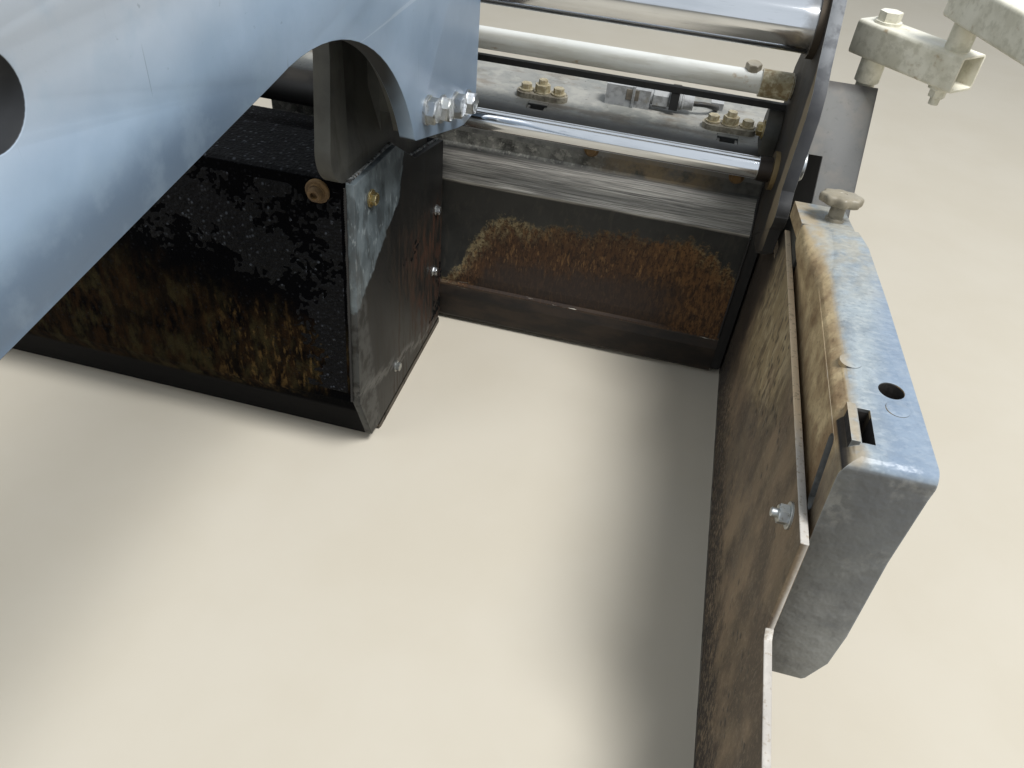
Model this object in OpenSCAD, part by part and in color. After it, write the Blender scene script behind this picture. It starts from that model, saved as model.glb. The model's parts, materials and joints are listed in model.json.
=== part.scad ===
// Left half of an extending paver screed with its tow arm.
// X is outboard from the crown joint, Y is rearward, Z is up from the ground.
// The origin lies on the crown joint face, under the middle of the main sole plate.

/* [Main half] */
// Width of the main half, from the crown joint to the outer face of its end plate
half_w = 1140; // [1040:10:1300]
// Depth of the main sole plate, front to back
main_sole_d = 400; // [360:10:440]
// Height of the main frame at its front edge
main_front_h = 580; // [540:10:620]
// Height of the main frame at its rear edge
main_rear_h = 469; // [450:1:480]
// Thickness of the main end plate
main_end_t = 15; // [10:1:20]
// Thickness of the bent front plates
wall_t = 10; // [8:1:14]
// Thickness of the sole plates
sole_t = 14; // [10:1:18]
// Thickness of the crown joint flange
crown_t = 20; // [16:1:30]

/* [Crown joint bolts] */
// Spacing of the crown bolts along Y
crown_bolt_dy = 280; // [240:10:300]
// Spacing of the crown bolts along Z
crown_bolt_dz = 300; // [260:10:320]
// Diameter of the crown bolt holes
crown_bolt_d = 26; // [18:1:30]

/* [Tow arm] */
// Thickness of the tow arm
arm_t = 25; // [20:1:30]
// Gap between the main end plate and the tow arm, filled by the bracket
arm_gap = 55; // [45:1:60]
// Distance of the tow point ahead of the middle of the main sole plate
tow_reach = 2450; // [2200:10:2700]
// Height of the tow point
tow_z = 760; // [740:10:790]
// Diameter of the tow point bore
tow_bore_d = 60; // [50:1:70]
// Length of the tow point bore, through its boss
tow_boss_l = 60; // [50:2:70]
// Diameter of the round hole in the arm's side
arm_hole_d = 60; // [50:1:70]

/* [Extension] */
// Distance from the outer face of the main end plate to the inner face of the end gate
ext_reach = 692; // [680:1:720]
// Length of the extension's front wall
ext_len = 1118; // [1060:1:1130]
// Gap between the main half and the extension behind it
ext_gap = 13; // [10:1:20]
// Depth of the extension
ext_d = 427; // [400:1:460]
// Height of the extension's top plate
ext_top_z = 520; // [516:1:530]
// Thickness of the top plate
top_plate_t = 8; // [6:1:10]
// Height of the front lip
lip_z = 100; // [90:5:120]
// Lower edge of the sloping band on the front wall
band_low_z = 371; // [360:1:380]
// Upper edge of the sloping band on the front wall
band_high_z = 433; // [425:1:440]
// How far the upper wall stands back from the lower wall
wall_setback = 67; // [60:1:75]
// Thickness of the extension's end plate
ext_end_t = 22; // [16:1:25]

/* [Guides and cylinder] */
// Diameter of the chromed guide tube
tube_d = 92; // [80:1:100]
// Height of the guide tube's axis
tube_z = 790; // [780:1:800]
// Wall of the guide sleeve
sleeve_wall = 16; // [12:1:20]
// Diameter of the support pipe
pipe_d = 42.4; // [38:0.1:48.3]
// Height of the support pipe's axis
pipe_z = 650; // [645:1:660]
// Diameter of the cylinder rod
rod_d = 42; // [36:1:46]
// Height of the cylinder's axis above the rear edge of the main frame
rod_lift = 65; // [60:1:70]
// Outer diameter of the cylinder barrel
barrel_d = 70; // [66:1:74]
// Radial running clearance of tubes and pins
run_gap = 0.1; // [0.05:0.01:0.1]

/* [End gate] */
// Thickness of the gate plate
gate_t = 10; // [8:1:14]
// Height of the gate plate's long top edge
gate_h = 492; // [470:2:500]
// Height of the gate plate's low nose
gate_nose_h = 350; // [320:1:380]
// Distance of the gate's front end ahead of the extension's front wall
gate_fore = 1150; // [1000:10:1200]
// Distance of the gate's rear end behind the extension's front wall
gate_aft = 400; // [350:10:480]
// Height of the gate housing's top
housing_h = 590; // [570:5:600]
// Width of the gate housing at its front
housing_w = 98; // [90:1:104]

/* [Swing arms] */
// Height of the square tube of a swing arm
link_h = 56; // [50:1:60]
// Width of the square tube of a swing arm
link_w = 60; // [50:1:64]
// Distance between the two pivots of the first swing arm
link_1_len = 134; // [120:1:160]
// Length of the second swing arm, from its pivot to the pole clamp
link_2_len = 400; // [300:10:410]
// Diameter of the post pin
post_pin_d = 24; // [20:1:26]
// Diameter of the pivot bolt between the arms
link_bolt_d = 16; // [12:1:20]
// Diameter of the pole that the clamp takes
pole_d = 42; // [38:0.5:44]

/* [Hidden] */

$fn = 64;

// Places that derive from the main half.
sole_front = -main_sole_d / 2;
sole_back = main_sole_d / 2;
main_back = sole_back + 5;
main_in = half_w - main_end_t;
wall_foot = sole_front - 20;
front_low = [-239, 23];
front_nose = [-286, 148];
front_top = [-254, main_front_h];
deck_step = [-70, main_front_h - 11];
deck_knee = [29, 505];
deck_t = 6;
crown_y = -20;
crown_z = 290;

// Places that derive from the extension.
gate_x = half_w + ext_reach;
gate_gap = 5;
ext_out = gate_x - gate_gap;
ext_in = ext_out - ext_end_t;
ext_x0 = ext_in - ext_len + ext_end_t;
ext_y = main_back + ext_gap;
ext_back = ext_y + ext_d;
upper_y = ext_y + wall_setback;
adjuster_xs = [ext_in - 500, ext_in - 92];
adjuster_y = ext_y + 174;
connector = [ext_in - 270, ext_y + 225, ext_top_z + 24];

// Route of the heater cable behind the outer adjuster; columns are x and y from the connector, and height.
cable_steps = [[95.3, 0, 24], [99, 0, 24], [107, 0.6, 24.6], [118, 3, 24.3], [129, 8.5, 22], [138, 16.5, 18],
    [144, 26, 13.5], [147, 36, 9], [147.5, 44.5, 6.2], [147.5, 48.7, 6.2]];
cable_route = [for (p = cable_steps) [connector[0] + p[0], connector[1] + p[1], ext_top_z + p[2]]];
cable_end = cable_route[len(cable_route) - 1];

// Places that derive from the guides.
rod_y = main_back - 15;
rod_z = main_rear_h + rod_lift;
tube_y = ext_y - 8;
pipe_y = ext_y + 98;
guide_bar_z = pipe_z - 48;
retract = 555;
barrel_x0 = 100;
rod_x0 = barrel_x0 + retract + 45;
tower_t = 20;
tower_xs = [180, main_in - 485, main_in - 30 - tower_t];

// Places that derive from the steps behind both halves.
step_z = 356;
ext_step_z = 296;
step_d = 240;
step_h = 44;

// Places that derive from the tow arm.
arm_in = half_w + arm_gap;
arm_out = arm_in + arm_t;
arm_rear = 150;
arch = [-531, 516];
arch_r = 356;

// Places that derive from the end gate.
guide_ys = [ext_y + 90, ext_y + 320];
stud_z = 230;
stud_d = 24;
gate_up = 120;
gate_down = 40;
gate_front = ext_y - gate_fore;
gate_rear = ext_y + gate_aft;
housing_x = gate_x + gate_t + 6;
ledge_y = -112;
ledge_z = housing_h - 4;
ledge_tilt = 10;
knob_x = gate_x + 49;

// Places that derive from the swing arms.
cover_w = 105;
cover_z = 680;
post_x = gate_x + 80;
post_y = ext_y + 10;
post_z = 750;
link_a1 = -45;
link_a2 = -73;
post_2 = [post_x + link_1_len * cos(link_a1), post_y + link_1_len * sin(link_a1)];
link_2_z = post_z + link_h + 39;

// Height of the sloping part of the deck at y.
function deck_z(y) = deck_step[1]
    + (deck_knee[1] - deck_step[1]) * (y - deck_step[0]) / (deck_knee[0] - deck_step[0]);

// Lays a YZ outline along X, from x0 to x1.
module along_x(x0, x1) {
    translate([x0, 0, 0]) rotate([90, 0, 90]) linear_extrude(x1 - x0) children();
}

// Round bar along X.
module bar_x(x0, x1, y, z, d) {
    translate([x0, y, z]) rotate([0, 90, 0]) cylinder(d = d, h = x1 - x0);
}

// Tube along X.
module tube_x(x0, x1, y, z, d, bore) {
    difference() {
        bar_x(x0, x1, y, z, d);
        bar_x(x0 - 1, x1 + 1, y, z, bore);
    }
}

// Section of the main half inside its outer plates.
module main_section(inset) {
    polygon([[sole_front, sole_t], [sole_front, 90], [front_nose[0] + inset + 4, 150],
        [front_top[0] + inset, front_top[1] - deck_t - 4], [deck_step[0], deck_step[1] - deck_t],
        [deck_knee[0], deck_knee[1] - deck_t], [main_back - 5, main_rear_h - deck_t],
        [main_back - 5, sole_t]]);
}

module main_frame() {
    bays = 3;
    bay_x0 = 70;
    bay_w = 290;
    bay_pitch = (main_in - bay_x0 - bay_w - 75) / (bays - 1);
    color("dimgray")
    difference() {
        union() {
            along_x(crown_t, main_in) main_section(wall_t);
            for (i = [0 : bays - 1])
                translate([bay_x0 + i * bay_pitch, main_back - 6, 80]) cube([bay_w, 6, main_rear_h - 160]);
        }
        for (dy = [-1, 1], dz = [-1, 1])
            bar_x(crown_t - 1, crown_t + 45, dy * crown_bolt_dy / 2 + crown_y,
                crown_z + dz * crown_bolt_dz / 2, 50);
    }
}

module main_front_wall() {
    color("dimgray")
    along_x(0, main_in)
        polygon([front_low, front_nose, front_top, [front_top[0] + wall_t, front_top[1] - 4],
            [front_nose[0] + wall_t, 150], [wall_foot, 90], [wall_foot, 23]]);
}

module main_end_plate() {
    color("dimgray")
    along_x(main_in, half_w)
        polygon([[sole_front, 20], front_low, front_nose, front_top, deck_step, deck_knee,
            [main_back, main_rear_h], [main_back, 34], [main_back - 16, 20]]);
}

module main_deck() {
    color("dimgray")
    along_x(0, main_in)
        polygon([[front_top[0] + wall_t, front_top[1] - 4 - deck_t],
            [front_top[0] + wall_t, front_top[1] - 4],
            [front_top[0] + wall_t + 6, front_top[1]],
            deck_step, deck_knee, [main_back, main_rear_h], [main_back, main_rear_h - 60],
            [main_back - 5, main_rear_h - 60], [main_back - 5, main_rear_h - deck_t],
            [deck_knee[0], deck_knee[1] - deck_t], [deck_step[0], deck_step[1] - deck_t]]);
}

module main_sole_plate() {
    color("gray")
    along_x(0, half_w)
        polygon([[sole_front, 5], [sole_front + 10, 0], [sole_back, 0], [sole_back, sole_t],
            [sole_front, sole_t]]);
}

module main_tamper_bar() {
    color("gray")
    along_x(crown_t, main_in - 5)
        polygon([[wall_foot + 0.3, 12], [wall_foot + 8, 2], [sole_front - 2, 2], [sole_front - 2, 82],
            [wall_foot + 0.3, 82]]);
}

module crown_flange() {
    color("dimgray")
    difference() {
        along_x(0, crown_t)
            polygon([[sole_front, sole_t], [sole_front, 90], [front_nose[0] + wall_t + 4, 150],
                [front_top[0] + wall_t, front_top[1] - deck_t - 4], [deck_step[0], deck_step[1] - deck_t],
                [deck_knee[0], deck_knee[1] - deck_t], [main_back - 5, main_rear_h - deck_t],
                [main_back - 5, sole_t]]);
        for (dy = [-1, 1], dz = [-1, 1])
            bar_x(-1, crown_t + 1, dy * crown_bolt_dy / 2 + crown_y, crown_z + dz * crown_bolt_dz / 2,
                crown_bolt_d);
    }
}

// Side outline of the tow arm: foot with its pointed toe, arch, lower edge, tow point and top edge.
module tow_arm_outline() {
    nose_r = 95;
    lift = 7.3;
    toe = [-190, 654];
    toe_r = 12;
    toe_in = [-201.5, 649];
    toe_low = [-193.4, 642.5];
    union() {
        difference() {
            polygon([arch + (arch_r - 0.5) * [-sin(lift), cos(lift)], toe_in, toe_low, [34, 575], [73, 566],
                [arm_rear, 564], [arm_rear, 1000], [-60, 1096], [-1300, 1108],
                [-tow_reach + 30, tow_z + nose_r], [-tow_reach, tow_z - nose_r], [-983, 817]]);
            translate(arch) circle(arch_r, $fn = 180);
        }
        translate(toe) circle(toe_r);
        translate([-tow_reach, tow_z]) circle(nose_r);
    }
}

module tow_arm() {
    side_hole = [-925, 961];
    boss_x = (arm_in + arm_out - tow_boss_l) / 2;
    color("slategray")
    difference() {
        union() {
            along_x(arm_in, arm_out) tow_arm_outline();
            bar_x(boss_x, boss_x + tow_boss_l, -tow_reach, tow_z, 150);
        }
        bar_x(arm_in - 1, arm_out + 1, side_hole[0], side_hole[1], arm_hole_d);
        bar_x(boss_x - 1, boss_x + tow_boss_l + 1, -tow_reach, tow_z, tow_bore_d);
    }
}

// Side plate on the main deck, with a pocket, the block behind it and the arched cheek that backs the arm.
module tow_arm_bracket() {
    plate_t = 25;
    cheek_t = 15;
    corner_r = 60;
    front_y = -298;
    rear_y = arm_rear - 10;
    top_z = 985;
    block_y = -100;
    pocket_y = -233;
    pocket_z = 677;
    pocket_x = main_in - 20;
    color("dimgray")
    difference() {
        union() {
            along_x(main_in - plate_t, main_in)
                union() {
                    translate([front_y + corner_r, main_front_h + corner_r]) circle(corner_r);
                    polygon([[front_y, main_front_h + corner_r], [front_y + 22, 776],
                        [front_y + 28, top_z + 15], [-60, top_z + 75], [rear_y, top_z],
                        [rear_y, main_rear_h + 16], deck_knee, deck_step,
                        [front_y + corner_r, main_front_h]]);
                }
            along_x(main_in, arm_in - cheek_t)
                polygon([[block_y, 640], [block_y, top_z], [rear_y, top_z], [rear_y, 600]]);
            along_x(arm_in - cheek_t, arm_in)
                difference() {
                    polygon([[-330, 645], [-330, top_z], [rear_y, top_z], [rear_y, 585], [-170, 650]]);
                    translate(arch) circle(arch_r + 14, $fn = 180);
                }
        }
        translate([0, block_y - 0.5, 0]) rotate([90, 0, 0]) linear_extrude(block_y - 0.5 - pocket_y)
            polygon([[pocket_x, pocket_z], [main_in + 1, pocket_z - 77], [main_in + 1, top_z - 40],
                [pocket_x, top_z - 40]]);
    }
}

module guide_towers() {
    front_y = -60;
    rear_y = main_back + 35;
    wing_y = pipe_y + 60;
    color("dimgray")
    for (x = tower_xs)
        difference() {
            along_x(x, x + tower_t)
                polygon([[front_y, deck_z(front_y) + 0.3], [deck_knee[0], deck_knee[1] + 0.3],
                    [main_back, main_rear_h + 0.3], [rear_y, 495], [rear_y, 590], [wing_y, 608],
                    [wing_y, 680],
                    [tube_y + 85, tube_z + 40], [tube_y + 50, tube_z + 85],
                    [tube_y - 50, tube_z + 85], [tube_y - 85, tube_z + 40], [front_y, 640]]);
            bar_x(x - 1, x + tower_t + 1, tube_y, tube_z, tube_d + 2 * sleeve_wall + 0.2);
            bar_x(x - 1, x + tower_t + 1, pipe_y, pipe_z, pipe_d + 16.2);
            bar_x(x - 1, x + tower_t + 1, rod_y, rod_z, barrel_d + 0.4);
            translate([x - 1, pipe_y - 2, 560]) cube([tower_t + 2, 24, guide_bar_z + 17 - 560]);
        }
}

module guide_sleeve() {
    color("dimgray")
        tube_x(160, main_in - 10, tube_y, tube_z, tube_d + 2 * sleeve_wall, tube_d + 2 * run_gap);
}

module pipe_sleeves() {
    color("dimgray")
    for (x = [620, main_in - 80])
        tube_x(x, x + 70, pipe_y, pipe_z, pipe_d + 16, pipe_d + 2 * run_gap);
}

module cylinder_barrel() {
    x1 = main_in - 25;
    color("dimgray")
    difference() {
        union() {
            bar_x(barrel_x0, x1, rod_y, rod_z, barrel_d);
            bar_x(x1 - 4, x1, rod_y, rod_z, barrel_d + 6);
        }
        bar_x(barrel_x0 + 12, x1 - 20, rod_y, rod_z, barrel_d - 12);
        bar_x(x1 - 30, x1 + 1, rod_y, rod_z, rod_d + 2 * run_gap);
    }
}

// Step of length l from x0: a plate with skirts and cross ribs below, open underneath.
module step(x0, l, y0, z0) {
    t = 8;
    ribs = 3;
    union() {
        difference() {
            translate([x0, y0, z0]) cube([l, step_d, step_h]);
            translate([x0 + t, y0 + t, z0 - 1]) cube([l - 2 * t, step_d - 2 * t, step_h - t + 1]);
        }
        for (i = [1 : ribs])
            translate([x0 + i * l / (ribs + 1), y0 + 1, z0 + 8]) cube([t, step_d - 2, step_h - 9]);
    }
}

module main_walkway() {
    color("dimgray") step(0, ext_x0 - 20, ext_back + 25, step_z);
}

// Arms that reach back over the extension from two towers, with the hangers of the step.
module walkway_carriers() {
    arm_z = 620;
    arm_h = 50;
    hanger_d = 30;
    color("dimgray")
    for (x = [tower_xs[0], tower_xs[1]])
        difference() {
            translate([x, pipe_y + 60, step_z + step_h])
                cube([tower_t, ext_back + 25 + hanger_d - pipe_y - 60, arm_z + arm_h - step_z - step_h]);
            translate([x - 1, pipe_y + 59, step_z + step_h - 1])
                cube([tower_t + 2, ext_back + 26 - pipe_y - 60, arm_z - step_z - step_h - 79]);
            translate([x - 1, pipe_y + 59, 0])
                rotate([90, 0, 90]) linear_extrude(tower_t + 2)
                    polygon([[0, arm_z - 81], [ext_back + 26 - pipe_y - 60, arm_z - 81],
                        [ext_back - 54 - pipe_y - 60, arm_z], [0, arm_z]]);
        }
}

module ext_front_wall() {
    hollow_r = 620;
    back_y = ext_y + 34;
    color("dimgray")
    along_x(ext_x0, ext_in)
        difference() {
            polygon([[ext_y + 3, 12], [ext_y, 18], [ext_y - 2, lip_z], [ext_y + 12, lip_z + 8],
                [ext_y, band_low_z],
                [upper_y, band_high_z], [upper_y, ext_top_z - 60],
                [upper_y + wall_t, ext_top_z - 60], [upper_y + wall_t, band_high_z - 6],
                [back_y, band_low_z - 20], [back_y, 150], [ext_y + 13, 90], [ext_y + 13, 12]]);
            translate([ext_y - hollow_r + 20, (lip_z + band_low_z) / 2 + 4]) circle(hollow_r, $fn = 360);
        }
}

module ext_top_plate() {
    bend_r = 60;
    plate_z = ext_top_z - top_plate_t;
    color("gray")
    difference() {
        along_x(ext_x0, ext_in)
            difference() {
                union() {
                    translate([upper_y + bend_r, ext_top_z - bend_r]) circle(bend_r);
                    translate([upper_y + bend_r, plate_z])
                        square([ext_back - 30 - upper_y - bend_r, top_plate_t]);
                }
                translate([upper_y + bend_r, ext_top_z - bend_r]) circle(bend_r - top_plate_t);
                translate([upper_y + bend_r, 0]) square([bend_r + 1, plate_z]);
                translate([upper_y - 1, 0]) square([bend_r * 2, ext_top_z - bend_r]);
            }
        adjuster_slots();
    }
}

// Room of the two slots in front of the height adjusters.
module adjuster_slots() {
    slot_w = 44;
    slot_d = 36;
    for (x = adjuster_xs)
        translate([x - slot_w / 2, adjuster_y - 28 - slot_d, ext_top_z - 60]) cube([slot_w, slot_d, 100]);
}

module ext_frame() {
    covers = 4;
    cover_l = 220;
    cover_pitch = (ext_in - ext_x0 - cover_l - 74) / (covers - 1);
    color("dimgray")
    difference() {
        union() {
            along_x(ext_x0 + 5, ext_in)
                polygon([[ext_y + 27, sole_t], [ext_y + 27, 90], [ext_y + 40, 150],
                    [ext_y + 40, band_low_z - 16],
                    [upper_y + wall_t + 2, band_high_z - 6], [upper_y + wall_t + 2, ext_top_z - 80],
                    [upper_y + 70, ext_top_z - top_plate_t], [ext_back - 30, ext_top_z - top_plate_t],
                    [ext_back - 10, ext_top_z - 60], [ext_back - 10, sole_t]]);
            for (i = [0 : covers - 1])
                translate([ext_x0 + 40 + i * cover_pitch, ext_back - 11, 80]) cube([cover_l, 5, 150]);
        }
        adjuster_slots();
    }
}

module ext_sole_plate() {
    color("gray")
    along_x(ext_x0, ext_in)
        polygon([[ext_y + 27, 5], [ext_y + 37, 0], [ext_back, 0], [ext_back, sole_t], [ext_y + 27, sole_t]]);
}

module ext_tamper_bar() {
    color("gray")
    along_x(ext_x0 + 5, ext_in - 5)
        polygon([[ext_y + 13.3, 12], [ext_y + 19, 2], [ext_y + 25, 2], [ext_y + 25, 82],
            [ext_y + 13.3, 82]]);
}

// End plate with its rounded nose ahead of the rod and its head around the guide tube.
module ext_end_plate() {
    head_r = 66;
    nose = [58, 520];
    nose_r = 34;
    color("slategray")
    union() {
        along_x(ext_in, ext_out)
            union() {
                polygon([[ext_y + 8, 16], [ext_y, 30], [ext_y, 380], [nose[0] + 42, 455],
                    [nose[0] - 17, nose[1] - 29], [nose[0] - nose_r, nose[1] + 2], [47, 562], [46, 690],
                    [62, 727], [100, 758], [tube_y - head_r * 0.8, tube_z + head_r * 0.6],
                    [tube_y + head_r, tube_z],
                    [pipe_y + 64, pipe_z + 20], [pipe_y + 64, pipe_z - 60],
                    [ext_back, 330], [ext_back, 30], [ext_back - 14, 16]]);
                translate(nose) circle(nose_r);
                translate([tube_y, tube_z]) circle(head_r);
            }
        for (y = guide_ys)
            translate([ext_out, y - 20, 60]) cube([gate_gap - 0.3, 40, 280]);
    }
}

// Studs of the end plate that the gate's upright slots slide on.
module gate_studs() {
    color("silver")
    for (y = guide_ys)
        union() {
            bar_x(gate_x - 0.3, gate_x + gate_t + 14, y, stud_z, stud_d);
            bar_x(gate_x + gate_t + 0.3, gate_x + gate_t + 6, y, stud_z, 52);
        }
}

module ear_lug() {
    lug_t = 30;
    lug = [pipe_y + 10, ext_top_z + 38];
    lug_r = 42;
    color("dimgray")
    along_x(ext_in - lug_t, ext_in)
        intersection() {
            union() {
                translate(lug) circle(lug_r);
                translate([lug[0] - 40, ext_top_z]) square([86, 38]);
            }
            translate([0, ext_top_z]) square([lug[0] + lug_r, 200]);
        }
}

module height_adjusters() {
    bar_l = 72;
    bar_w = 42;
    bar_h = 12;
    side_hex = 24;
    mid_hex = 34;
    color("gray")
    for (x = adjuster_xs)
        translate([x, adjuster_y, ext_top_z])
            union() {
                translate([-bar_l / 2, -bar_w / 2, 0]) cube([bar_l, bar_w, bar_h]);
                for (s = [-1, 1])
                    translate([s * bar_l / 2, 0, 0])
                        union() {
                            cylinder(d = bar_w, h = bar_h);
                            cylinder(d = 32, h = bar_h + 4);
                            cylinder(d = side_hex, h = bar_h + 15, $fn = 6);
                        }
                cylinder(d = 37, h = bar_h + 3);
                cylinder(d = mid_hex, h = bar_h + 18, $fn = 6);
                cylinder(d = 20, h = bar_h + 28, $fn = 6);
            }
}

// Plug and socket in line, with a hexagon gland, and the block where the cable goes down.
module cable_connector() {
    plug_l = 62;
    body_l = 35;
    color("lightgray")
    union() {
        translate([connector[0] - 95, connector[1] - 20, ext_top_z]) cube([plug_l, 40, 44]);
        translate([connector[0] - 95 + plug_l, connector[1] - 17, ext_top_z]) cube([body_l, 34, 40]);
        bar_x(connector[0] - 95 + plug_l + body_l, connector[0] + 95, connector[1], connector[2], 30);
        translate([connector[0] + 8, connector[1], connector[2]]) rotate([0, 90, 0])
            cylinder(d = 42, h = 32, $fn = 6);
        translate([cable_end[0] - 14, cable_end[1] + 0.3, ext_top_z]) cube([28, 20, 16]);
    }
}

module heater_cable() {
    color("black") sweep(cable_route, 11, 10);
}

function unit(v) = v / norm(v);
function tangent(path, i) = unit(path[min(i + 1, len(path) - 1)] - path[max(i - 1, 0)]);

// Round tube of diameter d and n sides, swept along a path.
module sweep(path, d, n) {
    rings = [for (i = [0 : len(path) - 1])
        let (t = tangent(path, i), s = unit(cross(t, [0, 0, 1])), u = cross(s, t))
        for (k = [0 : n - 1]) path[i] + d / 2 * (cos(360 * k / n) * s + sin(360 * k / n) * u)];
    m = len(path);
    sides = [for (i = [0 : m - 2], k = [0 : n - 1]) let (a = i * n + k, b = i * n + (k + 1) % n)
        [a, b, b + n, a + n]];
    ends = [[for (k = [n - 1 : -1 : 0]) k], [for (k = [0 : n - 1]) (m - 1) * n + k]];
    polyhedron(points = rings, faces = concat([for (f = sides) [f[3], f[2], f[1], f[0]]],
        [for (e = ends) [for (j = [len(e) - 1 : -1 : 0]) e[j]]]));
}

module guide_tube() {
    color("silver")
    union() {
        tube_x(20 + retract, ext_in, tube_y, tube_z, tube_d, tube_d - 24);
        tube_x(ext_in - 12, ext_in, tube_y, tube_z, tube_d + 14, tube_d - 24);
    }
}

module support_pipe() {
    color("darkkhaki")
    union() {
        tube_x(30 + retract, ext_in, pipe_y, pipe_z, pipe_d, pipe_d - 8);
        tube_x(ext_in - 62, ext_in - 4, pipe_y, pipe_z, pipe_d + 9, pipe_d - 8);
    }
}

module guide_bar() {
    color("black")
        translate([main_in - 20, pipe_y + 4, guide_bar_z]) cube([ext_in - main_in + 20, 12, 12]);
}

module cylinder_rod() {
    color("silver")
    union() {
        bar_x(rod_x0, ext_in, rod_y, rod_z, rod_d);
        bar_x(rod_x0, rod_x0 + 30, rod_y, rod_z, barrel_d - 12.2);
        bar_x(ext_in - 34, ext_in, rod_y, rod_z, rod_d + 5);
        bar_x(ext_in - 9, ext_in, rod_y, rod_z, rod_d + 30);
    }
}

// Bent cover: steep front panel with a lip above the shelf, a notch beside the end plate and a rear skirt.
module gate_cover() {
    t = 6;
    foot = [50, 521];
    lip = [207, 707];
    rear_y = 290;
    notch_w = 38;
    notch_top = 604;
    skirt_x = gate_x + 16;
    skirt_z = 370;
    slot_top = 560;
    color("gray")
    difference() {
        union() {
            along_x(ext_out, ext_out + cover_w)
                union() {
                    polygon([foot, lip, [lip[0] + 4.6, lip[1] - 3.9], [foot[0] + 4.6, foot[1] - 3.9]]);
                    polygon([[lip[0] - 18, cover_z], [rear_y, cover_z], [rear_y, slot_top],
                        [rear_y - t, slot_top], [rear_y - t, cover_z - t], [lip[0] - 23, cover_z - t]]);
                }
            along_x(skirt_x, ext_out + cover_w)
                translate([rear_y - t, skirt_z]) square([t, slot_top - skirt_z + 1]);
        }
        translate([ext_out - 1, foot[0] - 10, foot[1] - 20])
            cube([notch_w + 1, 140, notch_top - foot[1] + 20]);
    }
}

module pivot_post() {
    foot_h = 30;
    color("darkkhaki")
    translate([post_x, post_y, 0])
    union() {
        translate([0, 0, cover_z]) cylinder(d = 32, h = foot_h + 1);
        translate([0, 0, cover_z + foot_h]) cylinder(d = 42, h = post_z - cover_z - foot_h - 0.3);
        translate([0, 0, cover_z]) cylinder(d = post_pin_d, h = post_z + link_h + 12 - cover_z);
        translate([0, 0, post_z + link_h + 0.3]) cylinder(d = 44, h = 4);
        translate([0, 0, post_z + link_h + 4]) cylinder(d = 38, h = 15, $fn = 6);
    }
}

module ext_walkway() {
    bracket_d = 200;
    bracket_z = 234;
    color("dimgray")
    union() {
        step(ext_x0 + 5, ext_len - 30, ext_back + 10, ext_step_z);
        for (x = [ext_x0 + 60, ext_x0 + 520, ext_x0 + 980])
            along_x(x, x + 16)
                polygon([[ext_back - 10, bracket_z], [ext_back + 20, bracket_z],
                    [ext_back - 10 + bracket_d, ext_step_z - 20],
                    [ext_back - 10 + bracket_d, ext_step_z + 20], [ext_back - 10, ext_step_z + 20]]);
    }
}

module gate_plate() {
    slot_w = stud_d + 0.6;
    color("dimgray")
    along_x(gate_x, gate_x + gate_t)
    difference() {
        polygon([[gate_front, 60], [gate_front + 60, 12], [gate_rear, 12], [gate_rear, 300],
            [gate_rear - 90, 400], [48, 430], [44, gate_h], [-680, gate_h], [-706, gate_nose_h + 12],
            [-716, gate_nose_h + 5], [-860, gate_nose_h - 4], [gate_front, gate_nose_h - 7]]);
        for (y = guide_ys)
            slot_2d([y, stud_z - gate_up], [y, stud_z + gate_down], slot_w);
    }
}

// Slot with round ends between the points a and b.
module slot_2d(a, b, w) {
    n = [a[1] - b[1], b[0] - a[0]] / norm(b - a) * w / 2;
    union() {
        translate(a) circle(d = w);
        translate(b) circle(d = w);
        polygon([a + n, b + n, b - n, a - n]);
    }
}

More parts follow.
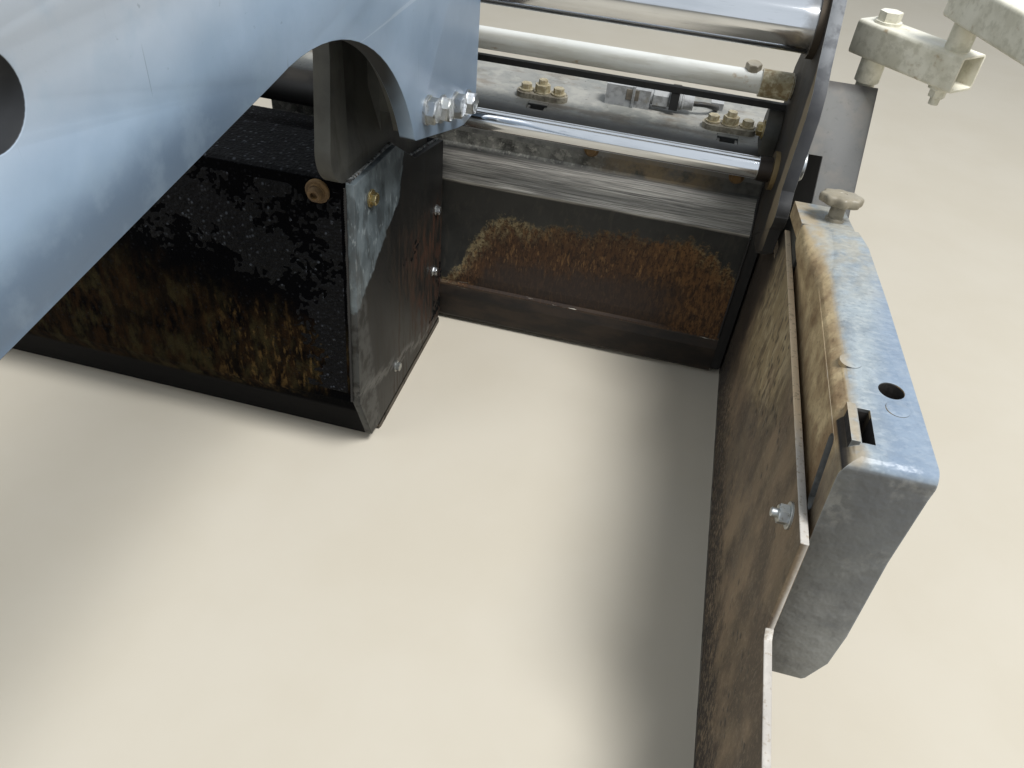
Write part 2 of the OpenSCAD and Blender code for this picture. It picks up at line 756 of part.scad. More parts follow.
// Formed housing on the gate plate: full shoulder inboard, drawn-in lower corner, tilted ledge behind.
module gate_housing() {
    shoulder_r = 26;
    nose_r = 18;
    low_z = 238;
    front_y = -640;
    foot_y = front_y - 50;
    rear_y = 10;
    ledge_drop = (rear_y - ledge_y) * tan(ledge_tilt);
    ledge_t = 28;
    hole = [housing_x + 64, -504];
    slot = [housing_x + 21, -607];
    x0 = housing_x;
    // Columns are x from the inner face and height of the section's outer side.
    flank = [[46, low_z], [64, 258], [78, 300], [84, 350], [88, 470], [96, 560], [housing_w, 574],
        [housing_w, housing_h]];
    // Columns are x from the inner face and y of the plan's outer side.
    rim = [[60, rear_y], [60, -104], [73, -160], [83, -310], [90, -450], [housing_w, -625],
        [housing_w, foot_y]];
    color("lightsteelblue")
    difference() {
        union() {
            intersection() {
                translate([x0, rear_y, 0]) rotate([90, 0, 0]) linear_extrude(rear_y - foot_y)
                    union() {
                        polygon(concat([[14, low_z]], flank, [[shoulder_r, housing_h], [shoulder_r, 400],
                            [0, 400], [0, 300]]));
                        translate([0, 390]) square([shoulder_r + 1, housing_h - shoulder_r - 390]);
                        translate([shoulder_r, housing_h - shoulder_r]) circle(shoulder_r);
                    }
                along_x(x0 - 1, x0 + housing_w + 1)
                    union() {
                        polygon([[rear_y, low_z], [rear_y, ledge_z - ledge_drop], [ledge_y, ledge_z],
                            [ledge_y - 4, housing_h], [front_y + nose_r, housing_h],
                            [front_y + nose_r, housing_h - nose_r], [front_y, housing_h - nose_r],
                            [foot_y, 300], [foot_y, low_z + 16], [foot_y + 16, low_z]]);
                        translate([front_y + nose_r, housing_h - nose_r]) circle(nose_r);
                    }
                translate([x0, 0, 0]) linear_extrude(housing_h + 10)
                    polygon(concat([[0, rear_y]], rim, [[0, foot_y]]));
            }
            translate([x0 - 6, front_y + 60, 320]) cube([7, rear_y - front_y - 100, 90]);
            along_x(x0 - 22, x0 + 30)
                polygon([[rear_y, ledge_z - ledge_drop - ledge_t], [rear_y, ledge_z - ledge_drop],
                    [ledge_y, ledge_z], [ledge_y, ledge_z - ledge_t]]);
            translate([x0 + 21, -462, housing_h - 5]) cylinder(d = 27, h = 6.2);
            translate([x0 + 67, -537, housing_h - 5]) cylinder(d = 27, h = 6.2);
            translate([slot[0] - 13, slot[1] - 4, housing_h - 16]) cube([10, 64, 20]);
        }
        translate([hole[0], hole[1], housing_h - 60]) cylinder(d = 30, h = 80);
        translate([slot[0], slot[1], housing_h - 50]) cube([14, 58, 70]);
        translate([x0 - 1, 0, 0]) rotate([90, 0, 90]) linear_extrude(11)
            slot_2d([-580, 556], [-606, 488], 24);
    }
}

module star_knob() {
    lobes = 8;
    disc_z = 29;
    disc_h = 12;
    color("silver")
    translate([knob_x, ledge_y, ledge_z]) rotate([-ledge_tilt, 0, 0]) translate([0, 47, 0])
    union() {
        cylinder(d = 26, h = 5);
        translate([0, 0, 4]) cylinder(d = 22, h = disc_z - 2);
        translate([0, 0, disc_z]) linear_extrude(disc_h)
            union() {
                circle(d = 60);
                for (i = [0 : lobes - 1])
                    rotate([0, 0, i * 360 / lobes]) translate([26, 0]) circle(d = 15);
            }
    }
}

module gate_skid() {
    color("gray")
    difference() {
        along_x(gate_x, gate_x + gate_t + 26)
            polygon([[gate_front, 62], [gate_front + 60, 0], [gate_rear - 20, 0], [gate_rear, 20],
                [gate_rear, 30], [gate_front + 66, 30], [gate_front + 14, 72]]);
        along_x(gate_x - 1, gate_x + gate_t)
            polygon([[gate_front - 1, 60.8], [gate_front + 60, 12], [gate_rear + 1, 12],
                [gate_rear + 1, 100],
                [gate_front - 1, 100]]);
    }
}

// Rectangular tube with rounded corners that lies along X, open at both ends, with its low face at z 0.
module box_tube(x0, x1, w, h, t) {
    r = 7;
    translate([x0, 0, h / 2]) rotate([90, 0, 90]) linear_extrude(x1 - x0)
        difference() {
            soft_rect(w, h, r);
            soft_rect(w - 2 * t, h - 2 * t, r - t);
        }
}

// Centred rectangle with rounded corners.
module soft_rect(w, h, r) {
    union() {
        square([w - 2 * r, h], center = true);
        square([w, h - 2 * r], center = true);
        for (x = [-1, 1], y = [-1, 1])
            translate([x * (w / 2 - r), y * (h / 2 - r)]) circle(r, $fn = 24);
    }
}

module link_arm_1() {
    color("darkkhaki")
    translate([post_x, post_y, post_z]) rotate([0, 0, link_a1])
    difference() {
        box_tube(-36, link_1_len + 34, link_w, link_h, 4);
        translate([0, 0, -1]) cylinder(d = post_pin_d + 2 * run_gap, h = link_h + 2);
        translate([link_1_len, 0, -1]) cylinder(d = link_bolt_d + 2 * run_gap, h = link_h + 2);
    }
}

module link_pivot_bolt() {
    color("silver")
    translate([post_2[0], post_2[1], 0])
    union() {
        translate([0, 0, post_z - 32]) cylinder(d = link_bolt_d, h = link_h * 2 + 39 + 44);
        translate([0, 0, post_z - 20]) cylinder(d = 27, h = 13, $fn = 6);
        translate([0, 0, post_z - 7]) cylinder(d = 36, h = 6.9);
        translate([0, 0, post_z + link_h + 0.1]) cylinder(d = 38, h = 38.6);
        translate([0, 0, link_2_z + link_h + 0.3]) cylinder(d = 27, h = 11, $fn = 6);
    }
}

module link_arm_2() {
    color("darkkhaki")
    translate([post_2[0], post_2[1], link_2_z]) rotate([0, 0, link_a2])
    difference() {
        box_tube(-28, link_2_len - pole_d / 2 - 10, link_w, link_h, 4);
        translate([0, 0, -1]) cylinder(d = link_bolt_d + 2 * run_gap, h = link_h + 2);
    }
}

module pole_clamp() {
    color("gray")
    translate([post_2[0], post_2[1], link_2_z]) rotate([0, 0, link_a2]) translate([link_2_len, 0, 0])
    difference() {
        union() {
            translate([0, 0, -8]) cylinder(d = pole_d + 14, h = link_h + 16);
            translate([-pole_d / 2 - 9.7, -24, 0]) cube([20, 48, link_h]);
        }
        translate([0, 0, -9]) cylinder(d = pole_d, h = link_h + 18);
    }
}

main_frame();
main_front_wall();
main_end_plate();
main_deck();
main_sole_plate();
main_tamper_bar();
crown_flange();
tow_arm();
tow_arm_bracket();
guide_towers();
guide_sleeve();
pipe_sleeves();
cylinder_barrel();
main_walkway();
walkway_carriers();
ext_front_wall();
ext_top_plate();
ext_frame();
ext_sole_plate();
ext_tamper_bar();
ext_end_plate();
ear_lug();
height_adjusters();
cable_connector();
heater_cable();
guide_tube();
support_pipe();
guide_bar();
cylinder_rod();
gate_cover();
gate_studs();
pivot_post();
ext_walkway();
gate_plate();
gate_housing();
star_knob();
gate_skid();
link_arm_1();
link_pivot_bolt();
link_arm_2();
pole_clamp();
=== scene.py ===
"""Looks of the left half of an extending paver screed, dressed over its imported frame."""
import json
import math
import bpy
import bmesh
import numpy as np
from mathutils import Matrix, Vector


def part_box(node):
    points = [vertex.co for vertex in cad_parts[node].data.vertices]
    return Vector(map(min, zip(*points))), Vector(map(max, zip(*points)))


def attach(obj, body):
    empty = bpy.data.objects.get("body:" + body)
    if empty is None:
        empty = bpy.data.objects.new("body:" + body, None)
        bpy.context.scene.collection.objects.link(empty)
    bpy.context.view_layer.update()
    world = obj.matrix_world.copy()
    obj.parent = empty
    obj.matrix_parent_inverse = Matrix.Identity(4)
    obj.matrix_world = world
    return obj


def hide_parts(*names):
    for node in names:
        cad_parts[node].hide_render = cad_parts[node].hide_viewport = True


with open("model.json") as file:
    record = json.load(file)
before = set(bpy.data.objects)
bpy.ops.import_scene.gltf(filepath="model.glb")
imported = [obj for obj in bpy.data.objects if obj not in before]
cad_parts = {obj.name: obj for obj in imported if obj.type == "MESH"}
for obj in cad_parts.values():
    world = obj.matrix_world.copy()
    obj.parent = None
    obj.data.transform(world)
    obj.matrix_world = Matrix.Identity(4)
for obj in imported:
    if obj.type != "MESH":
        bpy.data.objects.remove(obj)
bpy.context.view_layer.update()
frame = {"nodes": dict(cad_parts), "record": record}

# The photographer's lens: its place in metres, its turn in degrees and its length in mm
LENS_PLACE = (1.599, -1.275, 1.150)
LENS_HEADING, LENS_TILT, LENS_ROLL = 9.97, 49.09, 6.03
LENS_MM, SENSOR_MM = 27.07, 36.0

# Driving places in metres, most of them read off the frame; X is outboard, Y rearward, Z up
MM = 0.001
X, Y, Z = (1, 0, 0), (0, 1, 0), (0, 0, 1)
BACK_X, BACK_Y = (-1, 0, 0), (0, -1, 0)
EXT_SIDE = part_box("ext_front_wall")[1][0]
WALL_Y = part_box("ext_front_wall")[0][1] + 0.002
UPPER_WALL_Y = WALL_Y + 0.067
PLATE_IN, PLATE_OUT = (corner[0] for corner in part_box("ext_end_plate"))
GATE_IN, GATE_OUT = (corner[0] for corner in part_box("gate_plate"))
HOUSING_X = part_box("gate_housing")[0][0] + 0.022
MAIN_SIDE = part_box("main_end_plate")[1][0]
ARM_SIDE = 1.220
TOP_PLATE_Z = 0.520
HOUSING_HOLE = (HOUSING_X + 0.064, -0.504, 0)
HOUSING_SLOT_X, HOUSING_SLOT_Y = (1.8688, 1.8832), (-0.6072, -0.5488)

# Where the dust on the extension's front changes along x: pale up to one place, brown between two
PALE_END, BROWN_START, BROWN_END = 1.42, 1.48, 1.70
HAIR = 0.0003  # half the width of a cleanly cut border

# Sizes in metres that the cable and its connector share
CABLE_RADIUS = 0.0055
CONNECTOR_Y = 0.443

WIDE = 9000.0  # a circle or hexagon in mm, so wide that it cuts nothing
ALL = None  # a mask that covers the whole coat
BROKEN = {"detail": 9, "grain": 0.75}  # noise whose patches have a broken border


def make_camera():
    """The camera looks down from above the gap between the tow arm and the end gate."""
    data = bpy.data.cameras.new("camera")
    data.lens, data.sensor_width = LENS_MM, SENSOR_MM
    data.clip_start, data.clip_end = 0.02, 60.0
    camera = bpy.data.objects.new("camera", data)
    heading, tilt, roll = (Matrix.Rotation(math.radians(turn), 4, axis) for turn, axis in
                           ((LENS_HEADING, "Z"), (LENS_TILT, "X"), (LENS_ROLL, "Z")))
    camera.matrix_world = Matrix.Translation(LENS_PLACE) @ (heading @ tilt @ roll)
    bpy.context.collection.objects.link(camera)
    bpy.context.scene.camera = camera


make_camera()


# Surfaces worked out with numpy


def show(name, mesh, material, smooth=None):
    """Gives a mesh its material and smooth faces; edges sharper than smooth degrees stay sharp."""
    mesh.materials.clear()
    mesh.materials.append(material)
    mesh.polygons.foreach_set("use_smooth", np.ones(len(mesh.polygons), dtype=bool))
    if smooth:
        mesh.set_sharp_from_angle(angle=math.radians(smooth))
    made = bpy.data.objects.new(name, mesh)
    bpy.context.collection.objects.link(made)
    return made


def new_piece(name, points, faces, body, slot, material, smooth=35.0):
    """Puts points and faces into a mesh that rides on a body."""
    mesh = bpy.data.meshes.new(name)
    mesh.from_pydata(points.reshape(-1, 3).tolist(), [], faces)
    mesh.validate()
    piece = show(name, mesh, material, smooth)
    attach(piece, body)
    return piece


def cells(rows, columns, closed=False):
    """The quads between the neighbours of a grid of points; closed joins the last column to the first."""
    index = np.arange(rows * columns).reshape(rows, columns)
    if closed:
        index = np.hstack([index, index[:, :1]])
    return np.stack([index[:-1, :-1], index[:-1, 1:], index[1:, 1:], index[1:, :-1]], -1).reshape(-1, 4)


def turned(rows, columns=48):
    """Turned or hexagonal form on a grid of row and angle t. A row in mm is (circle radius, height) and may
    add a hexagon's half width w: the radius at t is the smaller of the circle and w / cos(t mod 60 - 30).
    Both ends close in a point."""
    angle = np.arange(columns) * 2 * np.pi / columns
    hexagon = 1 / np.cos(np.mod(angle, np.pi / 3) - np.pi / 6)
    circle, height, half = np.array([(*row, WIDE)[:3] for row in rows], dtype=float).T
    radius = np.minimum(circle[:, None], half[:, None] * hexagon)
    grid = np.stack([radius * np.cos(angle), radius * np.sin(angle), height[:, None] + 0 * angle], axis=-1)
    points = np.concatenate([grid.reshape(-1, 3), [[0, 0, height[0]], [0, 0, height[-1]]]])
    low, high = np.full((2, columns), [[len(points) - 2], [len(points) - 1]])
    first = np.arange(columns)
    after = np.roll(first, -1)
    top = (len(rows) - 1) * columns
    ends = np.concatenate([np.stack([low, after, first], 1), np.stack([high, first + top, after + top], 1)])
    return points * MM, cells(len(rows), columns, closed=True).tolist() + ends.tolist()


def set_out(form, spots, axis, turn=0.6):
    """Copies a form that stands along Z to every spot, its Z along the axis, each copy turned on from the
    last."""
    points, faces = form
    way = np.array(axis, dtype=float)
    way /= np.linalg.norm(way)
    aside = np.cross([0, 0, 1.0], way) if abs(way[2]) < 0.9 else np.cross(way, [0, 1.0, 0])
    aside /= np.linalg.norm(aside)
    third = np.cross(way, aside)
    all_points, all_faces = [], []
    for i, spot in enumerate(spots):
        a = math.cos(turn * i) * aside + math.sin(turn * i) * third
        b = math.cos(turn * i) * third - math.sin(turn * i) * aside
        all_points.append(np.array(spot) + points @ np.array([a, b, way]))
        all_faces += [[v + i * len(points) for v in face] for face in faces]
    return np.concatenate(all_points), all_faces


def lathe(name, rows, spots, axis, body, slot, material, smooth=30, columns=48):
    """Turned pieces at a row of spots, as one piece."""
    new_piece(name, *set_out(turned(rows, columns), spots, axis), body, slot, material, smooth)


def lattice(u, v, cell, seed):
    """Smooth noise from -1 to 1: random values on a square lattice, eased between by 3t^2 - 2t^3."""
    picks = np.random.default_rng(seed)
    table = picks.uniform(-1, 1, (257, 257))
    x, y = u / cell, v / cell
    i, j = np.floor(x).astype(int), np.floor(y).astype(int)
    s, t = x - i, y - j
    s, t = s * s * (3 - 2 * s), t * t * (3 - 2 * t)
    i, j = i % 256, j % 256
    return ((table[i, j] * (1 - s) + table[i + 1, j] * s) * (1 - t)
            + (table[i, j + 1] * (1 - s) + table[i + 1, j + 1] * s) * t)


def crust(name, u, v, place, normal, height, fall, sink):
    """Grit stuck to a face of the main half: a grid at place(u, v) raised along its normal by height, which
    falls to sink below the face at its rim; where the height is below the face, the grid is left out."""
    rim = np.minimum.reduce([u - u.min(), u.max() - u, v - v.min(), v.max() - v])
    height = np.minimum(height, rim * fall - sink)
    points = place + height[..., None] * np.array(normal)
    quads = cells(*u.shape)
    buried = -0.6 * MM
    kept = quads[(height.reshape(-1)[quads] > buried).any(axis=1)]
    used, back = np.unique(kept, return_inverse=True)
    faces = back.reshape(-1, 4).tolist()
    new_piece(name, points.reshape(-1, 3)[used], faces, "main", "bitumen_steel", GRIT, 80)


def tube(name, path, radius, sides, up, body, slot, material):
    """Round tube along a path: radius times (cos t side + sin t third), where side is square to the path and
    to up, and third to the path and to side. Both ends are closed."""
    ahead = np.gradient(path, axis=0)
    ahead /= np.linalg.norm(ahead, axis=1)[:, None]
    side = np.cross(ahead, up)
    side /= np.linalg.norm(side, axis=1)[:, None]
    third = np.cross(side, ahead)
    angle = np.arange(sides) * 2 * np.pi / sides
    ring = np.cos(angle)[None, :, None] * side[:, None] + np.sin(angle)[None, :, None] * third[:, None]
    points = path[:, None] + np.reshape(radius, (-1, 1, 1)) * ring
    faces = cells(len(path), sides, closed=True).tolist()
    faces += [list(range(sides))[::-1], list(range((len(path) - 1) * sides, len(path) * sides))]
    piece = new_piece(name, points, faces, body, slot, material, 60)
    work = bmesh.new()
    work.from_mesh(piece.data)
    bmesh.ops.recalc_face_normals(work, faces=work.faces)
    work.to_mesh(piece.data)
    work.free()
    return piece


def bead(name, corners, radius, body, material, seed=3):
    """Weld bead along corner points: a round section of 8 points whose radius swells with each ripple of the
    bead, r (1 + 0.16 sin(2 pi s / pitch)), and with slow noise."""
    step, pitch = 0.0014, 0.0045
    corners = np.array(corners, dtype=float)
    lengths = np.concatenate([[0], np.cumsum(np.linalg.norm(np.diff(corners, axis=0), axis=1))])
    s = np.arange(0, lengths[-1], step)
    path = np.stack([np.interp(s, lengths, corners[:, k]) for k in range(3)], 1)
    swell = radius * (1 + 0.16 * np.sin(2 * np.pi * s / pitch) + 0.25 * lattice(s, 0 * s + 0.3, 0.02, seed))
    tube(name, path, swell, 8, (0.31, 0.22, 0.93), body, "dark_paint", material)


def round_edges(piece, width, sharp=30.0):
    """Rounds the edges sharper than an angle in degrees with a bevel."""
    edge = piece.modifiers.new("edge", "BEVEL")
    edge.width, edge.segments = width, 2
    edge.limit_method, edge.angle_limit = "ANGLE", math.radians(sharp)
    edge.use_clamp_overlap = True
    edge.harden_normals = True


def prism(name, outline, x0, x1, body, slot, material, width=0.001):
    """A plate or block: an outline of (y, z) in mm, anticlockwise seen from +X, drawn out from x0 to x1 in
    metres, with rounded edges."""
    count = len(outline)
    flat = np.array(outline) * MM
    points = np.concatenate([np.column_stack([np.full(count, x), flat]) for x in (x0, x1)])
    faces = [list(range(count))[::-1], list(range(count, 2 * count))]
    faces += [[i, (i + 1) % count, (i + 1) % count + count, i + count] for i in range(count)]
    round_edges(new_piece(name, points, faces, body, slot, material, 30), width)


def block(name, x0, x1, y0, y1, z0, z1, slot, material, width=0.001):
    """A small block of the extension between two corners in mm."""
    outline = [(y0, z0), (y1, z0), (y1, z1), (y0, z1)]
    prism(name, outline, x0 * MM, x1 * MM, "extension", slot, material, width)


def soften(node, width, body):
    """A copy of a CAD node, merged and freed of its inner edges, with its corners rounded by a bevel."""
    solid = frame["nodes"][node].data
    mesh = solid.copy()
    work = bmesh.new()
    work.from_mesh(mesh)
    bmesh.ops.remove_doubles(work, verts=work.verts, dist=0.08 * width)
    bmesh.ops.dissolve_limit(work, angle_limit=math.radians(0.4), verts=work.verts, edges=work.edges)
    work.to_mesh(mesh)
    work.free()
    piece = show(node + "_soft", mesh, solid.materials[0])
    round_edges(piece, width)
    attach(piece, body)
    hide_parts(node)


# Colours and finishes


def srgb(code):
    """An sRGB hex colour turned to linear light."""
    parts = [int(code[i:i + 2], 16) / 255 for i in (1, 3, 5)]
    return tuple(c / 12.92 if c <= 0.04045 else ((c + 0.055) / 1.055) ** 2.4 for c in parts) + (1.0,)


def add(tree, kind, inputs=None, **settings):
    """Adds a node; an input is a value, or a socket to link from."""
    made = tree.nodes.new("ShaderNode" + kind)
    for name, value in settings.items():
        setattr(made, name, value)
    for name, value in (inputs or {}).items():
        if isinstance(value, bpy.types.NodeSocket):
            tree.links.new(value, made.inputs[name])
        else:
            made.inputs[name].default_value = value
    return made


class Coat:
    """A finish built in layers over a ground colour: each layer has a mask, a colour, a roughness and a
    height."""

    def __init__(self, name, ground, rough, metal=0.0, gloss=0.35):
        self.material = bpy.data.materials.new(name)
        self.material.use_nodes = True
        self.tree = self.material.node_tree
        self.shader = self.tree.nodes["Principled BSDF"]
        self.place = add(self.tree, "TexCoord").outputs["Object"]
        self.normal = add(self.tree, "NewGeometry").outputs["Normal"]
        self.axes = add(self.tree, "SeparateXYZ", {"Vector": self.place}).outputs
        self.facing = add(self.tree, "SeparateXYZ", {"Vector": self.normal}).outputs
        self.colour, self.rough, self.height = srgb(ground), rough, None
        self.shader.inputs["Metallic"].default_value = metal
        if not metal:
            self.shader.inputs["Specular IOR Level"].default_value = gloss

    def noise(self, size, shift=0, detail=5, grain=0.6, x=1, y=1, z=1, turn=0):
        """Noise from 0 to 1 with lumps of a size in metres, longer along an axis whose x, y or z is below 1,
        turned about X in radians; each shift shows another part of the pattern."""
        moved = add(self.tree, "Mapping", {"Vector": self.place, "Scale": (x, y, z), "Rotation": (turn, 0, 0),
                                           "Location": (shift, shift * 0.7, shift * 1.3)})
        return add(self.tree, "TexNoise", {"Vector": moved.outputs[0], "Scale": 1 / size, "Detail": detail,
                                           "Roughness": grain}).outputs["Fac"]

    def stones(self, size, shift=0):
        """Broken stones of a size in metres: how near the middle of a cell is, and a grey of its own per
        cell."""
        moved = add(self.tree, "Mapping", {"Vector": self.place, "Location": (shift, shift, shift)})
        cell = add(self.tree, "TexVoronoi", {"Vector": moved.outputs[0], "Scale": 1 / size}).outputs
        grey = add(self.tree, "SeparateXYZ", {"Vector": cell["Color"]}).outputs[0]
        return self.ramp(cell["Distance"], 0.75, 0.1), grey

    def ramp(self, source, start, end):
        """0 where the source is at start, 1 at end, eased between."""
        return add(self.tree, "MapRange", {"Value": source, "From Min": start, "From Max": end},
                   interpolation_type="SMOOTHSTEP").outputs[0]

    def patches(self, size, cut, soft, *how, **more):
        """Irregular patches: where noise of a size in metres is above cut, with a border of plus and minus
        soft."""
        return self.ramp(self.noise(size, *how, **more), cut - soft, cut + soft)

    def sum(self, first, times, second):
        """first x times + second, of sockets or numbers."""
        return add(self.tree, "Math", {0: first, 1: times, 2: second}, operation="MULTIPLY_ADD").outputs[0]

    def beyond(self, way, place, soft, ragged=0, size=0.03, *how, **more):
        """1 on the far side of a plane, a x + b y + c z > place in metres where (a, b, c) is the way. Its
        border is soft, and ragged by noise of a size."""
        total = -place
        for axis, part in zip("XYZ", way):
            total = self.sum(self.axes[axis], part, total)
        if ragged:
            total = self.sum(self.noise(size, *how, **more), 2 * ragged, total)
        return self.ramp(total, ragged - soft, ragged + soft)

    def before(self, *plane, **more):
        """1 on the near side of a plane, given as for beyond."""
        return self.apart(self.beyond(*plane, **more))

    def around(self, way, spot, radius):
        """1 within a radius of a line through a spot along X, Y or Z."""
        flat = tuple(1 - part for part in way)
        here = add(self.tree, "VectorMath", {0: self.place, 1: flat}, operation="MULTIPLY").outputs[0]
        there = tuple(a * b for a, b in zip(spot, flat))
        away = add(self.tree, "VectorMath", {0: here, 1: there}, operation="DISTANCE").outputs["Value"]
        return self.ramp(away, radius + 0.0005, radius)

    def both(self, *masks):
        """Where all the masks are."""
        whole = masks[0]
        for mask in masks[1:]:
            whole = add(self.tree, "Math", {0: whole, 1: mask}, operation="MULTIPLY").outputs[0]
        return whole

    def apart(self, mask):
        """Where the mask is not."""
        return add(self.tree, "Math", {0: 1.0, 1: mask}, operation="SUBTRACT").outputs[0]

    def edges(self, radius):
        """Bright where the surface bends within a radius in metres."""
        bent = add(self.tree, "Bevel", {"Radius": radius}, samples=4).outputs[0]
        same = add(self.tree, "VectorMath", {0: bent, 1: self.normal}, operation="DOT_PRODUCT").outputs
        return self.ramp(same["Value"], 0.985, 0.85)

    def lay(self, mask, colour, rough=None, share=1, height=0):
        """Lays a share of a colour and of a roughness over the coat where the mask is, raised by metres."""
        part = mask if share == 1 else self.both(mask, share)
        self.colour = add(self.tree, "MixRGB", {"Fac": part, "Color1": self.colour,
                                                "Color2": srgb(colour)}).outputs[0]
        if rough is not None:
            self.rough = add(self.tree, "MapRange", {"Value": part, "To Min": self.rough,
                                                     "To Max": rough}).outputs[0]
        if height:
            self.raise_by(mask, height)

    def fleck(self, where, colour, rough, share, size, cut, soft, *how, height=0, **more):
        """Lays a colour in patches inside a mask: the mask, then the colour, roughness and share as lay
        takes them, then the size, cut, soft and shift of the patches as patches and noise take them."""
        mask = self.patches(size, cut, soft, *how, **more)
        self.lay(mask if where is ALL else self.both(where, mask), colour, rough, share, height)

    def raise_by(self, mask, height):
        """Adds relief: mask times a height in metres."""
        self.height = self.sum(mask, height, 0.0 if self.height is None else self.height)

    def done(self, size=0, height=0, detail=3):
        """Adds a fine relief of a size and height, links the layers to the shader and gives the material."""
        if size:
            self.raise_by(self.noise(size, detail=detail), height)
        for socket, source in (("Base Color", self.colour), ("Roughness", self.rough)):
            if isinstance(source, bpy.types.NodeSocket):
                self.tree.links.new(source, self.shader.inputs[socket])
            else:
                self.shader.inputs[socket].default_value = source
        if self.height is not None:
            bump = add(self.tree, "Bump", {"Height": self.height, "Distance": 1.0})
            self.tree.links.new(bump.outputs[0], self.shader.inputs["Normal"])
        return self.material


def slate_enamel():
    """Two-pack enamel sprayed on the tow arm: satin slate blue, cloudy with dust haze and darker towards its
    lower edge, with fine scratches and water marks; its underside is near black, partly dirt and partly
    painted shade."""
    c = Coat("slate_enamel", "#8a9fb5", 0.36, gloss=0.5)
    c.fleck(ALL, "#9aafc5", 0.42, 0.8, 0.4, 0.5, 0.16, 1, detail=2)
    c.fleck(ALL, "#7a90a7", 0.4, 0.5, 0.16, 0.52, 0.14, 2)
    haze = c.beyond((0, -0.1, 1), 1.03, 0.055, 0.02, 0.08)
    c.lay(haze, "#b6bdc5", 0.55, 0.85)
    low = c.both(c.before((0, -0.1, 1), 0.965, 0.025, 0.012, 0.06), c.beyond(BACK_Y, 0.62, 0.1))
    c.lay(low, "#5d7086", 0.42, 0.85)
    c.lay(c.beyond((0, 1, -0.7), -0.72, 0.12, 0.08, 0.1), "#76879a", 0.4, 0.5)
    c.fleck(ALL, "#93a6b8", 0.45, 0.3, 0.035, 0.58, 0.1, 5, detail=6)
    c.fleck(ALL, "#55636f", 0.4, 0.35, 0.01, 0.7, 0.03, 12)
    c.fleck(ALL, "#c8d2da", None, 0.3, 0.06, 0.72, 0.006, 9, detail=2, y=0.1, z=5, turn=0.5)
    c.fleck(ALL, "#55636f", None, 0.4, 0.05, 0.735, 0.006, 4, detail=2, y=6, z=0.22, turn=-0.4)
    c.fleck(c.edges(0.0015), "#c4cdd4", None, 0.6, 0.03, 0.42, 0.1, 7)
    # Painted shade, partly dirt: near black on the faces that look down
    c.lay(c.ramp(c.facing["Z"], -0.25, -0.75), "#0e0e0e", 0.8)
    c.lay(c.around(X, (0, -0.925, 0.961), 0.03), "#15171a", 0.7)
    return c.done(0.0025, 0.00005, 2)


def charcoal_enamel(name="charcoal_enamel", ground="#1d1d1d", dust="#4a4742"):
    """Black-grey chassis enamel: dust lies on what faces up, drips run down, edges are rubbed."""
    c = Coat(name, ground, 0.5, gloss=0.3)
    c.fleck(ALL, "#282726", 0.6, 0.8, 0.12, 0.5, 0.2)
    c.fleck(ALL, "#33302c", 0.65, 0.5, 0.02, 0.6, 0.1, 3, z=0.25)
    up = c.ramp(c.facing["Z"], 0.45, 0.9)
    c.fleck(up, dust, 0.85, 0.8, 0.06, 0.46, 0.14, 6)
    c.fleck(c.edges(0.0015), "#5d5b58", None, 0.6, 0.03, 0.48, 0.1, 7)
    return c.done(0.002, 0.0001)


def end_plate_enamel():
    """Main end plate: near-black enamel, scraped to pale blue-grey in torn patches at its front corner, rust
    runs behind, a bright scrape across it."""
    c = Coat("scraped_black_enamel", "#121212", 0.5, gloss=0.3)
    c.fleck(ALL, "#1b1a17", 0.6, 0.9, 0.1, 0.5, 0.2, z=0.4)
    c.fleck(ALL, "#28231d", 0.65, 0.5, 0.012, 0.6, 0.1, 1, z=0.12)
    runs = c.both(c.beyond((0, 1, -0.1), -0.12, 0.03, 0.05), c.before((0, 0.35, 1), 0.36, 0.05, 0.05),
                  c.patches(0.014, 0.56, 0.09, 2, z=0.12))
    c.lay(runs, "#38281a", 0.8, 0.6)
    rusted = c.both(c.beyond((0, 1, 0.35), 0.08, 0.04, 0.05), c.before(Z, 0.33, 0.05, 0.05),
                    c.patches(0.02, 0.52, 0.08, 8, z=0.35))
    c.lay(rusted, "#3b2212", 0.85, 0.8)
    # The scraped patch lies above a line that falls forward, and is cut off behind a steep line
    scraped = c.both(c.beyond((0, -0.48, 0.877), 0.437, 0.004, 0.022, 0.03, 3),
                     c.before((0, 0.935, -0.354), -0.222, 0.003, 0.014, 0.02, 5))
    c.lay(scraped, "#50595d", 0.45, 0.9)
    c.fleck(scraped, "#747e82", 0.4, 0.6, 0.06, 0.5, 0.1, 4, z=0.7)
    c.fleck(scraped, "#2d3132", 0.5, 0.6, 0.03, 0.56, 0.06, 6.5, z=0.4)
    c.fleck(scraped, "#9ba3a4", 0.45, 0.45, 0.01, 0.62, 0.05, 9, z=0.4)
    # Painted sheen: a lighter grey in patches towards the front of the plate
    shine = c.both(c.before((0, 1, 0.13), -0.19, 0.008, 0.01, 0.03), c.patches(0.03, 0.47, 0.08, 1.5))
    c.lay(shine, "#4b4d4c", 0.4, 0.45)
    scrape = c.both(c.patches(0.012, 0.52, 0.05, 2, y=0.3, turn=0.5),
                    c.beyond((0, -0.35, -1), -0.085, 0.01, 0.004),
                    c.beyond((0, 0.35, 1), 0.055, 0.01, 0.004))
    c.lay(scrape, "#5d5c59", 0.45, 0.6)
    c.fleck(c.edges(0.002), "#77736d", None, 0.7, 0.02, 0.4, 0.1, 7)
    return c.done(0.0016, 0.00012)


